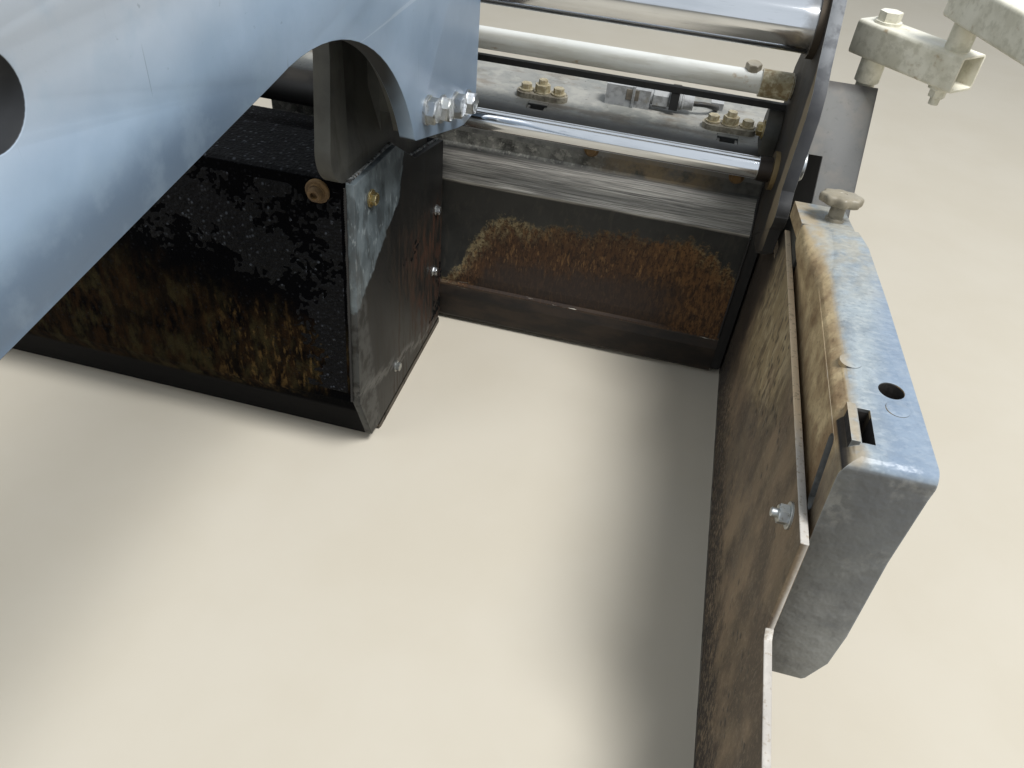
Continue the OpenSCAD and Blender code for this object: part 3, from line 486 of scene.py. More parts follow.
def tar_and_painted_shadow_wall():
    """Main front wall: dried bitumen with grit, its near-black ground partly a painted shadow, and a low band
    where rust and olive oil film run down between."""
    # Painted shadow, partly bitumen: the near-black ground also stands for the shadow of the tow arm and
    # tractor
    c = Coat("bitumen_and_painted_shadow_on_steel", "#020203", 0.92, gloss=0.03)
    band = c.both(c.before((0.17, 0, 1), 0.47, 0.06, 0.09, 0.05, 1),
                  c.beyond((-0.3, 0, 1), -0.15, 0.03, 0.06, 0.05, 3))
    c.fleck(band, "#110c07", 0.8, 1, 0.05, 0.46, 0.12, z=0.6)
    c.fleck(band, "#2c1e10", 0.85, 0.6, 0.014, 0.54, 0.14, 2, detail=8, z=0.35)
    c.fleck(band, "#2f2a19", 0.7, 0.7, 0.03, 0.56, 0.1, 5, detail=8, z=0.5)
    core = c.both(band, c.beyond(X, 0.86, 0.08, 0.05))
    c.fleck(core, "#5e4a2b", 0.7, 0.5, 0.01, 0.6, 0.08, 9, detail=8, z=0.35)
    c.lay(c.before(Z, 0.115, 0.008), "#0a0a0b", 0.6)
    near, grey = c.stones(0.005)
    c.lay(c.both(c.ramp(grey, 0.86, 0.95), near, c.beyond(Z, 0.16, 0.02)), "#18191c", 0.6, 0.5)
    c.raise_by(c.both(near, c.beyond(Z, 0.13, 0.02)), 0.0008)
    c.raise_by(c.noise(0.008, detail=6, grain=0.75), 0.0012)
    return c.done()


def grit_tar():
    """Asphalt stuck to steel: tar-black stones, a few glossy and painted a lighter bluish grey as a glint."""
    c = Coat("tarred_grit", "#040405", 0.8, gloss=0.12)
    near, grey = c.stones(0.0055)
    c.lay(c.both(near, c.ramp(grey, 0.3, 0.9)), "#0c0d0f", 0.6)
    # Painted glint: a few stones a lighter bluish grey, and glossy
    c.lay(c.both(near, c.ramp(grey, 0.9, 0.97)), "#454950", 0.3, 0.6)
    c.raise_by(near, 0.0018)
    c.raise_by(c.noise(0.002, detail=4, grain=0.7), 0.0006)
    return c.done()


def wall_wear():
    """Extension front wall: dusty upper wall, a band scraped bright along its length, dark steel below it,
    an arch of rust with a broken tan fringe and a brown core, and a dark lip."""
    c = Coat("scraped_rusty_steel", "#262726", 0.5, gloss=0.3)
    x, z = c.axes["X"], c.axes["Z"]
    lip_z, fold_z, steel_z, band_low, band_high, upper_z = 0.099, 0.11, 0.102, 0.372, 0.408, 0.428
    c.fleck(ALL, "#323230", 0.6, 0.8, 0.06, 0.5, 0.12)
    c.fleck(ALL, "#3e3b36", 0.6, 0.5, 0.015, 0.6, 0.08, 14, z=0.3)
    # Upper wall: mottled dust, pale at its inner end, brown towards the outer end
    upper = c.beyond(Z, upper_z, 0.004)
    c.fleck(upper, "#4a4a47", 0.75, 1, 0.05, 0.46, 0.14)
    pale = c.both(upper, c.before(X, PALE_END, 0.15, 0.1))
    c.fleck(pale, "#94948d", 0.85, 0.65, 0.04, 0.48, 0.12, 2, **BROKEN)
    c.fleck(pale, "#b3b1a7", 0.85, 0.5, 0.01, 0.58, 0.06, 4, detail=8)
    brown = c.both(upper, c.beyond(X, BROWN_START, 0.08, 0.06), c.before(X, BROWN_END, 0.06, 0.05))
    c.fleck(brown, "#7a6a50", 0.85, 0.65, 0.05, 0.44, 0.14, 5, **BROKEN)
    # Sloping band, scraped in thin strokes along X
    band = c.both(c.beyond(Z, band_low, 0.004, 0.006, 0.03, x=0.1),
                  c.before((-0.01, 0, 1), band_high, 0.008, 0.008, 0.03, 2, x=0.1),
                  c.beyond(X, 1.13, 0.05, 0.03))
    c.lay(band, "#85827c", 0.42, 0.85)
    c.fleck(band, "#aaa69d", 0.38, 0.85, 0.0026, 0.47, 0.1, detail=3, x=0.02)
    c.fleck(band, "#dedad0", 0.35, 0.7, 0.0018, 0.58, 0.08, 3, x=0.015)
    c.fleck(band, "#33312f", 0.5, 0.6, 0.0022, 0.58, 0.06, 6, x=0.015)
    # Top of the rust arch over x: a steep rise at the inner end, a slow one along, a fall at the outer end
    rise = c.sum(c.ramp(x, 1.105, 1.285), 0.205, c.sum(c.ramp(x, 1.28, 1.7), 0.035, 0.085))
    top = c.sum(c.ramp(x, 1.68, 1.82), -0.065, rise)
    under = c.sum(z, -1, top)
    wild = c.sum(c.noise(0.05, detail=10, grain=0.82, z=0.6), 0.19, -0.095)
    depth = c.sum(under, 1, wild)
    steel = c.beyond(Z, steel_z, 0.004)
    arch = c.both(c.ramp(depth, -0.008, 0.016), steel)
    c.lay(arch, "#33241a", 0.8, 1, 0.0003)
    fringe = c.both(c.ramp(depth, -0.014, 0.004), c.ramp(depth, 0.055, 0.004), steel)
    c.fleck(fringe, "#6a5c42", 0.9, 0.65, 0.012, 0.54, 0.07, 7, **BROKEN)
    side = c.both(fringe, c.before(X, 1.36, 0.1, 0.05))
    c.fleck(side, "#a09370", 0.9, 0.7, 0.01, 0.5, 0.07, 3, **BROKEN)
    far = c.both(fringe, c.beyond(X, 1.68, 0.05, 0.03))
    c.fleck(far, "#93815b", 0.9, 0.65, 0.008, 0.52, 0.06, 5, **BROKEN)
    c.fleck(arch, "#523a25", 0.85, 0.7, 0.008, 0.5, 0.1, 4, detail=9, grain=0.7, z=0.3)
    c.fleck(arch, "#8a6a45", 0.9, 0.45, 0.005, 0.6, 0.06, 1, detail=8, z=0.25)
    outer = c.both(arch, c.beyond(X, 1.6, 0.08, 0.04))
    c.fleck(outer, "#7c5a38", 0.9, 0.55, 0.008, 0.5, 0.1, 12, detail=9, z=0.3)
    c.fleck(arch, "#15100c", 0.8, 0.7, 0.004, 0.58, 0.06, 9, detail=8, z=0.5)
    # Brown core low in the middle
    core = c.both(c.ramp(depth, 0.085, 0.135), c.before(X, 1.68, 0.05, 0.03), steel)
    c.lay(core, "#28221f", 0.65, 0.8)
    c.fleck(core, "#3f3026", 0.7, 0.6, 0.006, 0.56, 0.08, 3.3, detail=8, z=0.3)
    # Fold over the lip with pale flecks along it that are painted highlights, and the dark lip below it
    fold = c.both(c.beyond(Z, lip_z - MM, 0.0015), c.before(Z, fold_z, 0.003))
    c.fleck(fold, "#3f3124", 0.6, 1, 0.05, 0.5, 0.1, x=0.3)
    # Painted highlights: pale flecks along the fold
    c.fleck(fold, "#cfc9bb", 0.3, 0.9, 0.012, 0.66, 0.02, 2, x=0.12)
    lip = c.before(Z, lip_z, 0.0015)
    c.lay(lip, "#1d1916", 0.5)
    c.fleck(lip, "#352b23", 0.6, 0.75, 0.03, 0.52, 0.12, detail=8, x=0.4)
    return c.done(0.0014, 0.00015)


def top_plate_dust():
    """Top plate of the extension: trodden enamel, grey-brown dust, darker on the bend."""
    c = Coat("dusty_worn_enamel", "#83847f", 0.5, gloss=0.45)
    c.fleck(ALL, "#989791", 0.6, 0.9, 0.1, 0.48, 0.12)
    c.fleck(ALL, "#b3b1a8", 0.75, 0.5, 0.03, 0.56, 0.08, 3, detail=7)
    c.fleck(ALL, "#6f5f4b", 0.75, 0.5, 0.05, 0.58, 0.08, 13, x=0.4)
    c.fleck(ALL, "#a5a196", 0.75, 0.35, 0.012, 0.62, 0.06, 9)
    c.fleck(ALL, "#34312d", 0.6, 0.6, 0.008, 0.66, 0.04, 5)
    bend = c.ramp(c.facing["Y"], -0.1, -0.45)
    c.lay(bend, "#353637", 0.4, 0.9)
    c.fleck(bend, "#545350", None, 0.6, 0.05, 0.5, 0.1, 8, x=0.3)
    low = c.both(bend, c.ramp(c.axes["Z"], 0.49, 0.47))
    pale = c.both(low, c.before(X, PALE_END, 0.15, 0.1))
    c.fleck(pale, "#868680", 0.85, 0.6, 0.045, 0.48, 0.14, 2, detail=8, grain=0.7)
    brown = c.both(low, c.beyond(X, BROWN_START, 0.08, 0.06), c.before(X, BROWN_END, 0.06, 0.05))
    c.fleck(brown, "#75664e", 0.85, 0.6, 0.05, 0.44, 0.14, 5, detail=8, grain=0.7)
    return c.done(0.002, 0.0002, 4)


def gate_side():
    """End gate plate: ground brown-grey by hot asphalt, streaked and speckled, tarred low down, bare on its
    edge."""
    c = Coat("asphalt_scoured_steel", "#55493b", 0.5, gloss=0.35)
    c.fleck(ALL, "#6e5f4b", 0.6, 1, 0.16, 0.48, 0.14, y=0.7)
    c.fleck(ALL, "#8d7961", 0.65, 0.7, 0.08, 0.5, 0.12, 2, detail=7, z=0.5, turn=0.15)
    c.fleck(ALL, "#382d24", 0.55, 0.7, 0.1, 0.51, 0.09, 6, detail=8, z=0.7, turn=0.3)
    c.fleck(ALL, "#9a8a73", 0.6, 0.25, 0.005, 0.57, 0.08, 16, z=0.6, turn=0.4)
    pale = c.both(c.beyond((0, 0.35, 1), 0.24, 0.06, 0.05), c.beyond(Y, -0.36, 0.1, 0.06),
                  c.before(Y, 0.02, 0.06, 0.04))
    c.fleck(pale, "#a4926f", 0.75, 0.8, 0.06, 0.42, 0.12, 3, detail=9, z=0.7)
    c.fleck(pale, "#c0b08e", 0.75, 0.55, 0.02, 0.54, 0.08, 5, detail=8, z=0.5)
    c.fleck(pale, "#463b2f", 0.6, 0.65, 0.012, 0.58, 0.06, 8, z=0.3)
    c.lay(c.beyond((0, 1, 0.25), 0.12, 0.04, 0.05), "#2b2621", 0.6, 0.85)
    low = c.before(Z, 0.12, 0.05, 0.1, 0.05)
    c.fleck(low, "#262120", 0.7, 0.85, 0.01, 0.47, 0.08, 4, detail=7, height=0.0008)
    near, grey = c.stones(0.012, shift=3)
    c.fleck(c.both(near, c.ramp(grey, 0.84, 0.88)), "#1b1816", 0.5, 0.9, 0.12, 0.5, 0.08, 7, height=0.001)
    c.fleck(ALL, "#958b7b", None, 0.4, 0.003, 0.7, 0.03, 11, detail=2, z=0.15, turn=0.9)
    top = c.ramp(c.facing["Z"], 0.2, 0.5)
    c.lay(top, "#b7b2aa", 0.4)
    c.fleck(top, "#cac4ba", 0.4, 0.7, 0.03, 0.5, 0.1, 1.5)
    c.lay(c.both(top, c.beyond(Y, -0.5, 0.05, 0.03)), "#dcc5a4", 0.7, 0.95)
    c.fleck(top, "#8d7a61", 0.7, 0.5, 0.006, 0.6, 0.05, 2.5)
    return c.done(0.0018, 0.00022, 4)


def housing_enamel():
    """Gate housing: pressed sheet, its top hammered and rubbed to a dented pale blue-grey, its inboard
    shoulder stained tan, brown below, its front plain grey; painted shade inside its hole and slots."""
    c = Coat("rubbed_slate_enamel", "#575858", 0.42, gloss=0.45)
    c.fleck(ALL, "#646562", 0.5, 0.8, 0.12, 0.5, 0.15)
    c.fleck(c.patches(0.08, 0.58, 0.08, 2), "#96958f", 0.6, 0.4, 0.012, 0.5, 0.1, 4)
    c.fleck(c.before(Z, 0.4, 0.08, 0.04), "#8c8c87", 0.6, 0.7, 0.05, 0.42, 0.14, 9)
    top = c.ramp(c.facing["Z"], 0.35, 0.85)
    back = c.beyond(Y, -0.6, 0.02, 0.02)
    c.lay(top, "#838d94", 0.33)
    c.fleck(top, "#9ea8ad", 0.4, 0.8, 0.045, 0.48, 0.14, 6, detail=6)
    c.fleck(top, "#b5bbba", 0.5, 0.5, 0.012, 0.56, 0.1, 8, y=1.5)
    c.fleck(top, "#6d7780", 0.4, 0.5, 0.01, 0.6, 0.08, 1, y=1.5)
    blue = c.both(top, c.beyond((1, -0.1, 0), 1.948, 0.02, 0.012))
    c.lay(blue, "#7388a3", 0.35, 0.55)
    rear = c.both(top, c.beyond((-0.5, 1, 0), -1.22, 0.12, 0.06))
    c.fleck(rear, "#b0a68e", 0.6, 0.5, 0.03, 0.46, 0.12, 12, detail=8)
    inboard = c.before((1, 0.03, 0), HOUSING_X + 0.004, 0.008, 0.01, 0.03)
    c.fleck(c.both(top, inboard), "#a39172", 0.6, 0.7, 0.03, 0.42, 0.12, 3)
    side = c.ramp(c.facing["X"], -0.35, -0.8)
    c.lay(side, "#b09a76", 0.6)
    c.fleck(side, "#d3bf96", 0.7, 0.7, 0.035, 0.5, 0.12, 5, detail=8)
    c.lay(c.both(side, c.before(Z, 0.505, 0.03, 0.03, 0.03)), "#6d563c", 0.6, 0.8)
    c.fleck(side, "#6d5236", 0.6, 0.75, 0.07, 0.52, 0.12, 7, detail=7)
    c.fleck(side, "#4a3826", 0.6, 0.3, 0.006, 0.6, 0.06, 4)
    c.lay(c.both(side, c.apart(back)), "#55534d", 0.5, 0.6)
    c.lay(c.both(c.edges(0.004), c.apart(back)), "#9aa2a7", 0.35, 0.4)
    # Painted shade: dark inside the hole and the slot
    inside = c.both(c.around(Z, HOUSING_HOLE, 0.0155), c.before(Z, 0.5885, 0.001))
    c.lay(inside, "#17130f", 0.8)
    slot = c.both(c.beyond(X, HOUSING_SLOT_X[0], HAIR), c.before(X, HOUSING_SLOT_X[1], HAIR),
                  c.beyond(Y, HOUSING_SLOT_Y[0], HAIR), c.before(Y, HOUSING_SLOT_Y[1], HAIR),
                  c.before(Z, 0.5855, 0.001))
    c.lay(slot, "#1c1610", 0.8)
    # Painted shade: dark on the slot's walls that face inboard
    c.lay(c.both(side, c.beyond(X, 1.85, 0.0008), c.before(Y, -0.56, 0.001)), "#15110e", 0.8)
    c.raise_by(c.noise(0.018, detail=2, y=1.3), 0.0022)
    return c.done(0.002, 0.0001)


def cover_grey():
    """Gate cover: grey enamel, dull, browned along its edges, black on its inner faces by the rear skirt as
    painted shade.
    """
    c = Coat("grey_sheet_enamel", "#737371", 0.48, gloss=0.4)
    c.fleck(ALL, "#80807d", 0.55, 0.8, 0.08, 0.5, 0.16, z=0.5)
    c.fleck(ALL, "#8f8980", 0.6, 0.5, 0.05, 0.56, 0.1, 3)
    c.fleck(ALL, "#5c5a57", None, 0.35, 0.01, 0.64, 0.05, 5)
    border = c.apart(c.both(c.beyond(X, PLATE_OUT + 0.006, 0.006, 0.004),
                            c.beyond(BACK_X, -PLATE_OUT - 0.099, 0.006, 0.004),
                            c.before(Z, 0.698, 0.006, 0.004)))
    c.lay(border, "#46423f", 0.6, 0.7)
    # Painted shade: black between y 0.27 and 0.286, by the rear skirt, for the dark inside behind the notch
    c.lay(c.both(c.beyond(Y, 0.27, 0.001), c.before(Y, 0.286, 0.001)), "#090909", 0.8)
    return c.done(0.002, 0.0001)


def end_plate_grey():
    """Extension end plate: front edge mid-grey above and dark below, where a shadow is painted on; dark
    inboard face with a tan smear along the edge beside the rod."""
    c = Coat("end_plate_enamel", "#404143", 0.6, gloss=0.25)
    c.fleck(ALL, "#4d4f50", 0.6, 0.8, 0.06, 0.5, 0.15)
    front = c.ramp(c.facing["Y"], -0.2, -0.6)
    high = c.beyond(Z, 0.47, 0.06, 0.03)
    c.lay(front, "#3f4042", 0.6)
    c.lay(c.both(front, c.beyond(Z, 0.755, 0.045)), "#74777a", 0.5)
    c.fleck(front, "#35363a", 0.6, 0.6, 0.03, 0.52, 0.1, 2)
    # Painted shadow: the front edge darkened below z 0.56
    c.lay(c.both(front, c.before(Z, 0.56, 0.04, 0.02)), "#222120", 0.6, 0.9)
    inner = c.ramp(c.facing["X"], -0.5, -0.9)
    c.lay(inner, "#25221f", 0.6)
    c.fleck(inner, "#352f28", 0.7, 0.8, 0.05, 0.5, 0.1, 4)
    c.lay(c.both(inner, high, c.beyond(BACK_Y, -0.098, 0.008, 0.01, 0.03)), "#8b7d65", 0.7, 0.85)
    c.fleck(c.both(c.edges(0.0015), high), "#9d9b92", None, 0.5, 0.02, 0.4, 0.1, 7)
    return c.done(0.002, 0.0001)


def hard_chrome(name, dark_end=None, stain=None):
    """Ground and polished hard chrome: a mirror with hairline marks round it; the rod's last stretch is a
    dark collar and a browned zinc flange, the guide tube's end is dulled by dust from its flange."""
    c = Coat(name, "#d5d7da", 0.09, metal=1)
    c.fleck(ALL, "#b9bcc0", 0.16, 0.6, 0.05, 0.55, 0.15, x=0.2)
    c.fleck(ALL, "#9a9da1", 0.25, 0.4, 0.003, 0.68, 0.04, 3, detail=2, x=0.05)
    if dark_end:
        for reach, colour, rough in ((0.034, "#3c3733", 0.45), (0.009, "#7f6f52", 0.6)):
            start = dark_end - reach
            c.lay(c.ramp(c.axes["X"], start - HAIR, start + HAIR), colour, rough)
    if stain:
        c.lay(c.beyond(X, stain - 0.03, 0.01, 0.008, 0.01), "#77726c", 0.35, 0.6)
        c.lay(c.beyond(X, stain - 0.0125, 0.001), "#4b443c", 0.7)
    return c.done()


def dull_zinc(name, ground, stain, spots, rough):
    """Zinc plating gone dull: cloudy, with yellow passivation and brown specks."""
    c = Coat(name, ground, rough, metal=1)
    c.fleck(ALL, stain, rough + 0.15, 0.8, 0.03, 0.48, 0.14)
    c.fleck(ALL, spots, rough + 0.3, 0.5, 0.006, 0.62, 0.06, 3)
    c.fleck(c.edges(0.0012), "#e4e3dc", rough - 0.1, 0.7, 0.01, 0.45, 0.1)
    return c.done(0.0016, 0.0001)


def dusty_zinc(name, ground, light, dark, rust, rough, along=1, coupling=None):
    """Weathered zinc or paint on small steel, matt with dust: pale where it faces up, streaked along X where
    along is below 1, brown in a few spots; a coupling from an x on is tan with rust."""
    c = Coat(name, ground, rough, gloss=0.45)
    c.fleck(ALL, light, rough + 0.1, 0.6, 0.05, 0.5, 0.14, x=along)
    c.fleck(ALL, dark, rough + 0.15, 0.5, 0.014, 0.56, 0.1, 3, x=along)
    c.fleck(ALL, rust, rough + 0.25, 0.7, 0.03, 0.66, 0.06, 8)
    c.fleck(c.ramp(c.facing["Z"], 0.55, 0.95), light, rough, 0.8, 0.08, 0.4, 0.15, 5)
    if coupling:
        end = c.beyond(X, coupling, 0.0008)
        c.lay(end, "#a39468", 0.6, 0.8)
        c.fleck(end, "#7c6239", 0.7, 0.7, 0.012, 0.52, 0.1, 6, detail=8)
        c.fleck(end, "#d3cbae", 0.6, 0.6, 0.008, 0.58, 0.08, 2)
    c.fleck(c.edges(0.0015), light, rough - 0.1, 0.8, 0.01, 0.42, 0.1)
    return c.done(0.0015, 0.00008)


def adjuster_steel():
    """Height adjusters: dusty brown clamp bars, brass-yellow zinc on the screws that stand above them."""
    c = Coat("dusty_adjusters", "#817a6c", 0.6, gloss=0.35)
    c.fleck(ALL, "#aba492", 0.75, 0.8, 0.02, 0.5, 0.12)
    c.fleck(ALL, "#54493b", 0.7, 0.6, 0.008, 0.58, 0.07, 3, detail=8)
    screws = c.beyond(Z, TOP_PLATE_Z + 0.0135, 0.0006)
    c.lay(screws, "#b5ab8e", 0.45)
    c.fleck(screws, "#8a7a58", 0.5, 0.7, 0.008, 0.5, 0.1, 7)
    c.fleck(c.edges(0.0015), "#ddd6c3", 0.4, 0.8, 0.01, 0.42, 0.1)
    return c.done(0.0015, 0.0001)


def chipped_bead():
    """Weld bead under broken enamel: dark paint with bright and rusty chips along it."""
    c = Coat("chipped_weld_bead", "#2a2b2b", 0.5, gloss=0.4)
    c.fleck(ALL, "#8f9291", 0.45, 0.85, 0.01, 0.5, 0.05, 1)
    c.fleck(ALL, "#5a4632", 0.7, 0.6, 0.008, 0.6, 0.05, 4)
    return c.done()


def sole_steel():
    """Sole and tamper steel: ground bright by the asphalt, blued and tarred in patches."""
    c = Coat("ground_wear_steel", "#77726c", 0.4, metal=1)
    c.fleck(ALL, "#5a544d", 0.5, 1, 0.05, 0.5, 0.12, y=0.2)
    c.fleck(ALL, "#231f1c", 0.7, 0.8, 0.02, 0.6, 0.06, 3)
    c.raise_by(c.noise(0.003, detail=3, y=0.1), 0.0002)
    return c.done()


def cable_rubber():
    """Rubber-sheathed cable, dusty on top."""
    c = Coat("rubber_cable", "#161616", 0.5, gloss=0.5)
    c.fleck(c.ramp(c.facing["Z"], 0.2, 0.8), "#4a453d", 0.85, 0.8, 0.01, 0.45, 0.12)
    return c.done()


CHARCOAL = charcoal_enamel()
GRIT = grit_tar()
TOP_PLATE = top_plate_dust()
HOUSING = housing_enamel()
EXT_PLATE = end_plate_grey()
BRACKET = charcoal_enamel("bracket_enamel", "#4c4c47", "#605d57")
ZINC = dull_zinc("bright_zinc", "#b9bcc0", "#a4a59f", "#6b6557", 0.32)
BRASSY = dull_zinc("yellow_zinc", "#a59568", "#8a7a55", "#4a3d2a", 0.4)
RUSTY = dusty_zinc("rusted_steel", "#4f3b22", "#6e552f", "#2a1e14", "#7a5527", 0.75)
DIRTY = dusty_zinc("dirty_steel", "#5d564c", "#8a8375", "#38332d", "#5c4630", 0.6)
KNOB = dusty_zinc("knob_zinc", "#7f7766", "#a29a88", "#625b4b", "#7d6a4c", 0.42)
ALUMINIUM = dusty_zinc("cast_aluminium", "#8f9192", "#b0b1b0", "#55524d", "#77705f", 0.45)
CHIPPED = chipped_bead()
CABLE = cable_rubber()

BY_SLOT = {
    "dark_paint": CHARCOAL, "slate_paint": cover_grey(), "bitumen_steel": tar_and_painted_shadow_wall(),
    "worn_steel": sole_steel(), "dusty_steel": TOP_PLATE, "cable_black": CABLE, "connector_grey": ALUMINIUM,
    "hard_chrome": hard_chrome("guide_tube_chrome", stain=PLATE_IN),
    "zinc_plate": dusty_zinc("dull_zinc_tube", "#c9c5b2", "#ece9da", "#aeaa95", "#9a805a", 0.45)}
BY_NODE = {
    "tow_arm": slate_enamel(), "tow_arm_bracket": BRACKET, "ear_lug": BRACKET,
    # The deck takes the tar-black grit: its tar, and painted shade for the deep shadow it lies in
    "main_end_plate": end_plate_enamel(), "main_deck": GRIT, "ext_front_wall": wall_wear(),
    "gate_plate": gate_side(), "gate_housing": HOUSING, "ext_end_plate": EXT_PLATE,
    "cylinder_rod": hard_chrome("rod_chrome", dark_end=PLATE_IN), "height_adjusters": adjuster_steel(),
    "gate_studs": ZINC, "star_knob": KNOB,
    "support_pipe": dusty_zinc("weathered_zinc_pipe", "#d3d2c7", "#f2f3ee", "#bcb7a8", "#a98a5c", 0.42,
                               along=0.12, coupling=PLATE_IN - 0.062)}

for part in frame["record"]["subparts"]:
    mesh = frame["nodes"][part["node"]].data
    mesh.materials.clear()
    mesh.materials.append(BY_NODE.get(part["node"], BY_SLOT[part["material_slot"]]))


def heater_cable():
    """The heater cable along the route that its solid follows: points in mm from the connector, joined by a
    Catmull-Rom curve, 0.5 (2b + (c - a) t + (2a - 5b + 4c - d) t^2 + (3b - a - 3c + d) t^3)."""
    steps = [(95.3, 0, 24), (99, 0, 24), (107, 0.6, 24.6), (118, 3, 24.3), (129, 8.5, 22), (138, 16.5, 18),
             (144, 26, 13.5), (147, 36, 9), (147.5, 44.5, 6.2), (147.5, 48.7, 6.2)]
    route = np.array((1.535, CONNECTOR_Y, TOP_PLATE_Z)) + np.array(steps) * MM
    fine = np.linspace(0, len(route) - 1, 36)
    low = np.clip(np.floor(fine).astype(int), 0, len(route) - 2)
    t = (fine - low)[:, None]
    padded = np.concatenate([[2 * route[0] - route[1]], route, [2 * route[-1] - route[-2]]])
    a, b, c, d = (padded[low + k] for k in range(4))
    path = 0.5 * (2 * b + (c - a) * t + (2 * a - 5 * b + 4 * c - d) * t ** 2
                  + (3 * b - a - 3 * c + d) * t ** 3)
    piece = tube("heater_cable_run", path, CABLE_RADIUS, 16, Z, "extension", "cable_black", CABLE)
    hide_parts("heater_cable")
    length = float(np.linalg.norm(np.diff(path, axis=0), axis=1).sum())


heater_cable()


def bolts(name, spots, axis, sizes, body, material=ZINC, slot="zinc_plate", stud=0):
    """A row of bolts as one piece: a chamfered hexagon head on a washer, with a stud end above it where it
    is a nut. The sizes in mm are the width across flats, the head's height, the washer's width and
    thickness."""
    across, head, washer, thick = sizes
    half, ring, top = across / 2, washer / 2, thick + head
    rows = [(ring, 0), (ring, thick - 0.4), (ring - 0.4, thick), (half * 1.06, thick + 0.1, half),
            (WIDE, thick + 0.3, half), (half * 1.16, top - 0.12 * half, half), (half * 0.94, top, half),
            (half * 0.86, top - 0.3)]
    if stud:
        rows += [(half * 0.52, top - 0.3), (half * 0.52, top + stud - 1), (half * 0.42, top + stud)]
    lathe(name, rows, spots, axis, body, slot, material, 28)


def make_bolts():
    """Every bolt, nut and plug that shows, each row as one piece."""
    foot = [(ARM_SIDE, y * MM, z * MM) for y, z in ((-144, 673), (-72, 649), (3, 628), (80, 606))]
    bolts("foot_bolts", foot, X, (36, 14.5, 46, 4.5), "main")
    side = [(MAIN_SIDE, y * MM, z * MM) for y, z in ((162, 328), (148, 181), (-97, 92))]
    bolts("main_plate_bolts", side, X, (17, 8, 24, 2), "main")
    bolts("main_plate_front_bolt", [(MAIN_SIDE, -0.192, 0.529)], X, (19, 9, 30, 3), "main", BRASSY)
    wall = [(x * MM, UPPER_WALL_Y, z * MM) for x, z in ((1442, 471), (1747, 469))]
    bolts("upper_wall_bolts", wall, BACK_Y, (19, 10, 32, 3), "extension", RUSTY, "dusty_steel")
    plug = [(20.5, -3), (20.5, 2), (19, 3.4), (14.5, 3.6), (13.5, 6)]
    for low in (6, 8.4, 10.8, 13.2):
        plug += [(10.4, low), (11.6, low + 1.2), (10.4, low + 2.4)]
    plug += [(9.5, 16.5), (6.5, 16.5), (5.5, 9)]
    lathe("front_wall_plug", plug, [(1.078, -0.2555, 0.559)], (0, -1, -0.07), "main", "worn_steel", RUSTY, 40)
    bolts("pipe_bolt", [(1.723, 0.319, 0.6695)], (0.0, -0.15, 0.98), (27, 13, 29, 1.5), "extension", KNOB)
    bolts("ear_bolt", [(PLATE_IN - 0.030, 0.312, 0.563)], BACK_X, (24, 11, 38, 3), "extension", BRASSY)
    disc = [(26, 0), (26, 10.5), (24.5, 12), (10, 12), (9, 9)]
    lathe("notch_disc", disc, [(PLATE_OUT - 0.0047, 0.112, 0.585)], X, "extension", "zinc_plate", ZINC)
    bolts("gate_inner_nut", [(GATE_IN, -0.615, 0.462)], BACK_X, (22, 12, 34, 3), "gate", stud=8)
    covers = [(x + inset, 0.640, z) for x in (0.749, 1.016, 1.283, 1.550) for inset in (0.014, 0.206)
              for z in (0.094, 0.216)]
    bolts("rear_cover_bolts", covers, Y, (13, 5, 18, 1.5), "extension")
    bays = [(x + inset, 0.200, z) for x in (0.07, 0.415, 0.76) for inset in (0.016, 0.274)
            for z in (0.096, 0.373)]
    bolts("rear_bay_bolts", bays, Y, (13, 4.5, 18, 1), "main")


make_bolts()


def make_beads():
    """Weld beads: along the main end plate's top edge, down its front corner, and where the extension's
    front wall meets its end plate."""
    edge = [(MAIN_SIDE - 0.013, y, z) for y, z in ((-0.250, 0.5795), (-0.070, 0.5690), (0.029, 0.5050),
                                                   (0.200, 0.4705))]
    bead("deck_edge_bead", edge, 0.0035, "main", CHIPPED)
    front = [(MAIN_SIDE - 0.016, -0.2862, 0.150), (MAIN_SIDE - 0.016, -0.2545, 0.574)]
    bead("front_corner_bead", front, 0.0024, "main", CHARCOAL, seed=7)
    wall = [(EXT_SIDE - 0.002, y - 0.0005, z) for y, z in ((WALL_Y, 0.112), (WALL_Y, 0.370),
                                                           (UPPER_WALL_Y, 0.433), (UPPER_WALL_Y, 0.470))]
    bead("wall_corner_bead", wall, 0.0028, "extension", CHARCOAL, seed=9)


make_beads()


def wall_crust():
    """Grit that sticks to the main front wall: height = cover + lumps of 55 and 24 mm + grains of 9 and 4.5
    mm. The cover is full above a slanting line and along the outer edge, and falls away over the rust
    band."""
    foot_y, foot_z, head_y, head_z = -0.286, 0.148, -0.254, 0.580
    u, v = np.meshgrid(np.linspace(0.012, 1.118, 420), np.linspace(0.165, 0.565, 170))
    slope = (head_y - foot_y) / (head_z - foot_z)
    place = np.stack([u, foot_y + (v - foot_z) * slope, v], -1)
    lumps = lattice(u, v, 0.055, 1) + 0.5 * lattice(u, v, 0.024, 2)
    grains = 0.6 * lattice(u, v, 0.009, 3) + 0.55 * lattice(u, v, 0.0045, 4)
    above = np.clip((v + 0.17 * u - 0.54) / 0.05, -1.2, 1)
    right = np.clip((u - 1.02) / 0.04, -1, 1)
    cover = np.maximum(above, np.minimum(right, (0.44 - v) / 0.05))
    grains = np.maximum(grains, -0.2) * np.clip(cover + 0.7, 0, 1)
    height = 0.0016 * cover + 0.0012 * lumps + 0.0026 * grains - 0.0012
    height = np.where(cover < -0.9, -0.002, height)
    normal = np.array([0, -1, slope]) / math.hypot(1, slope)
    crust("front_wall_crust", u, v, place, normal, height, fall=0.5, sink=0.001)


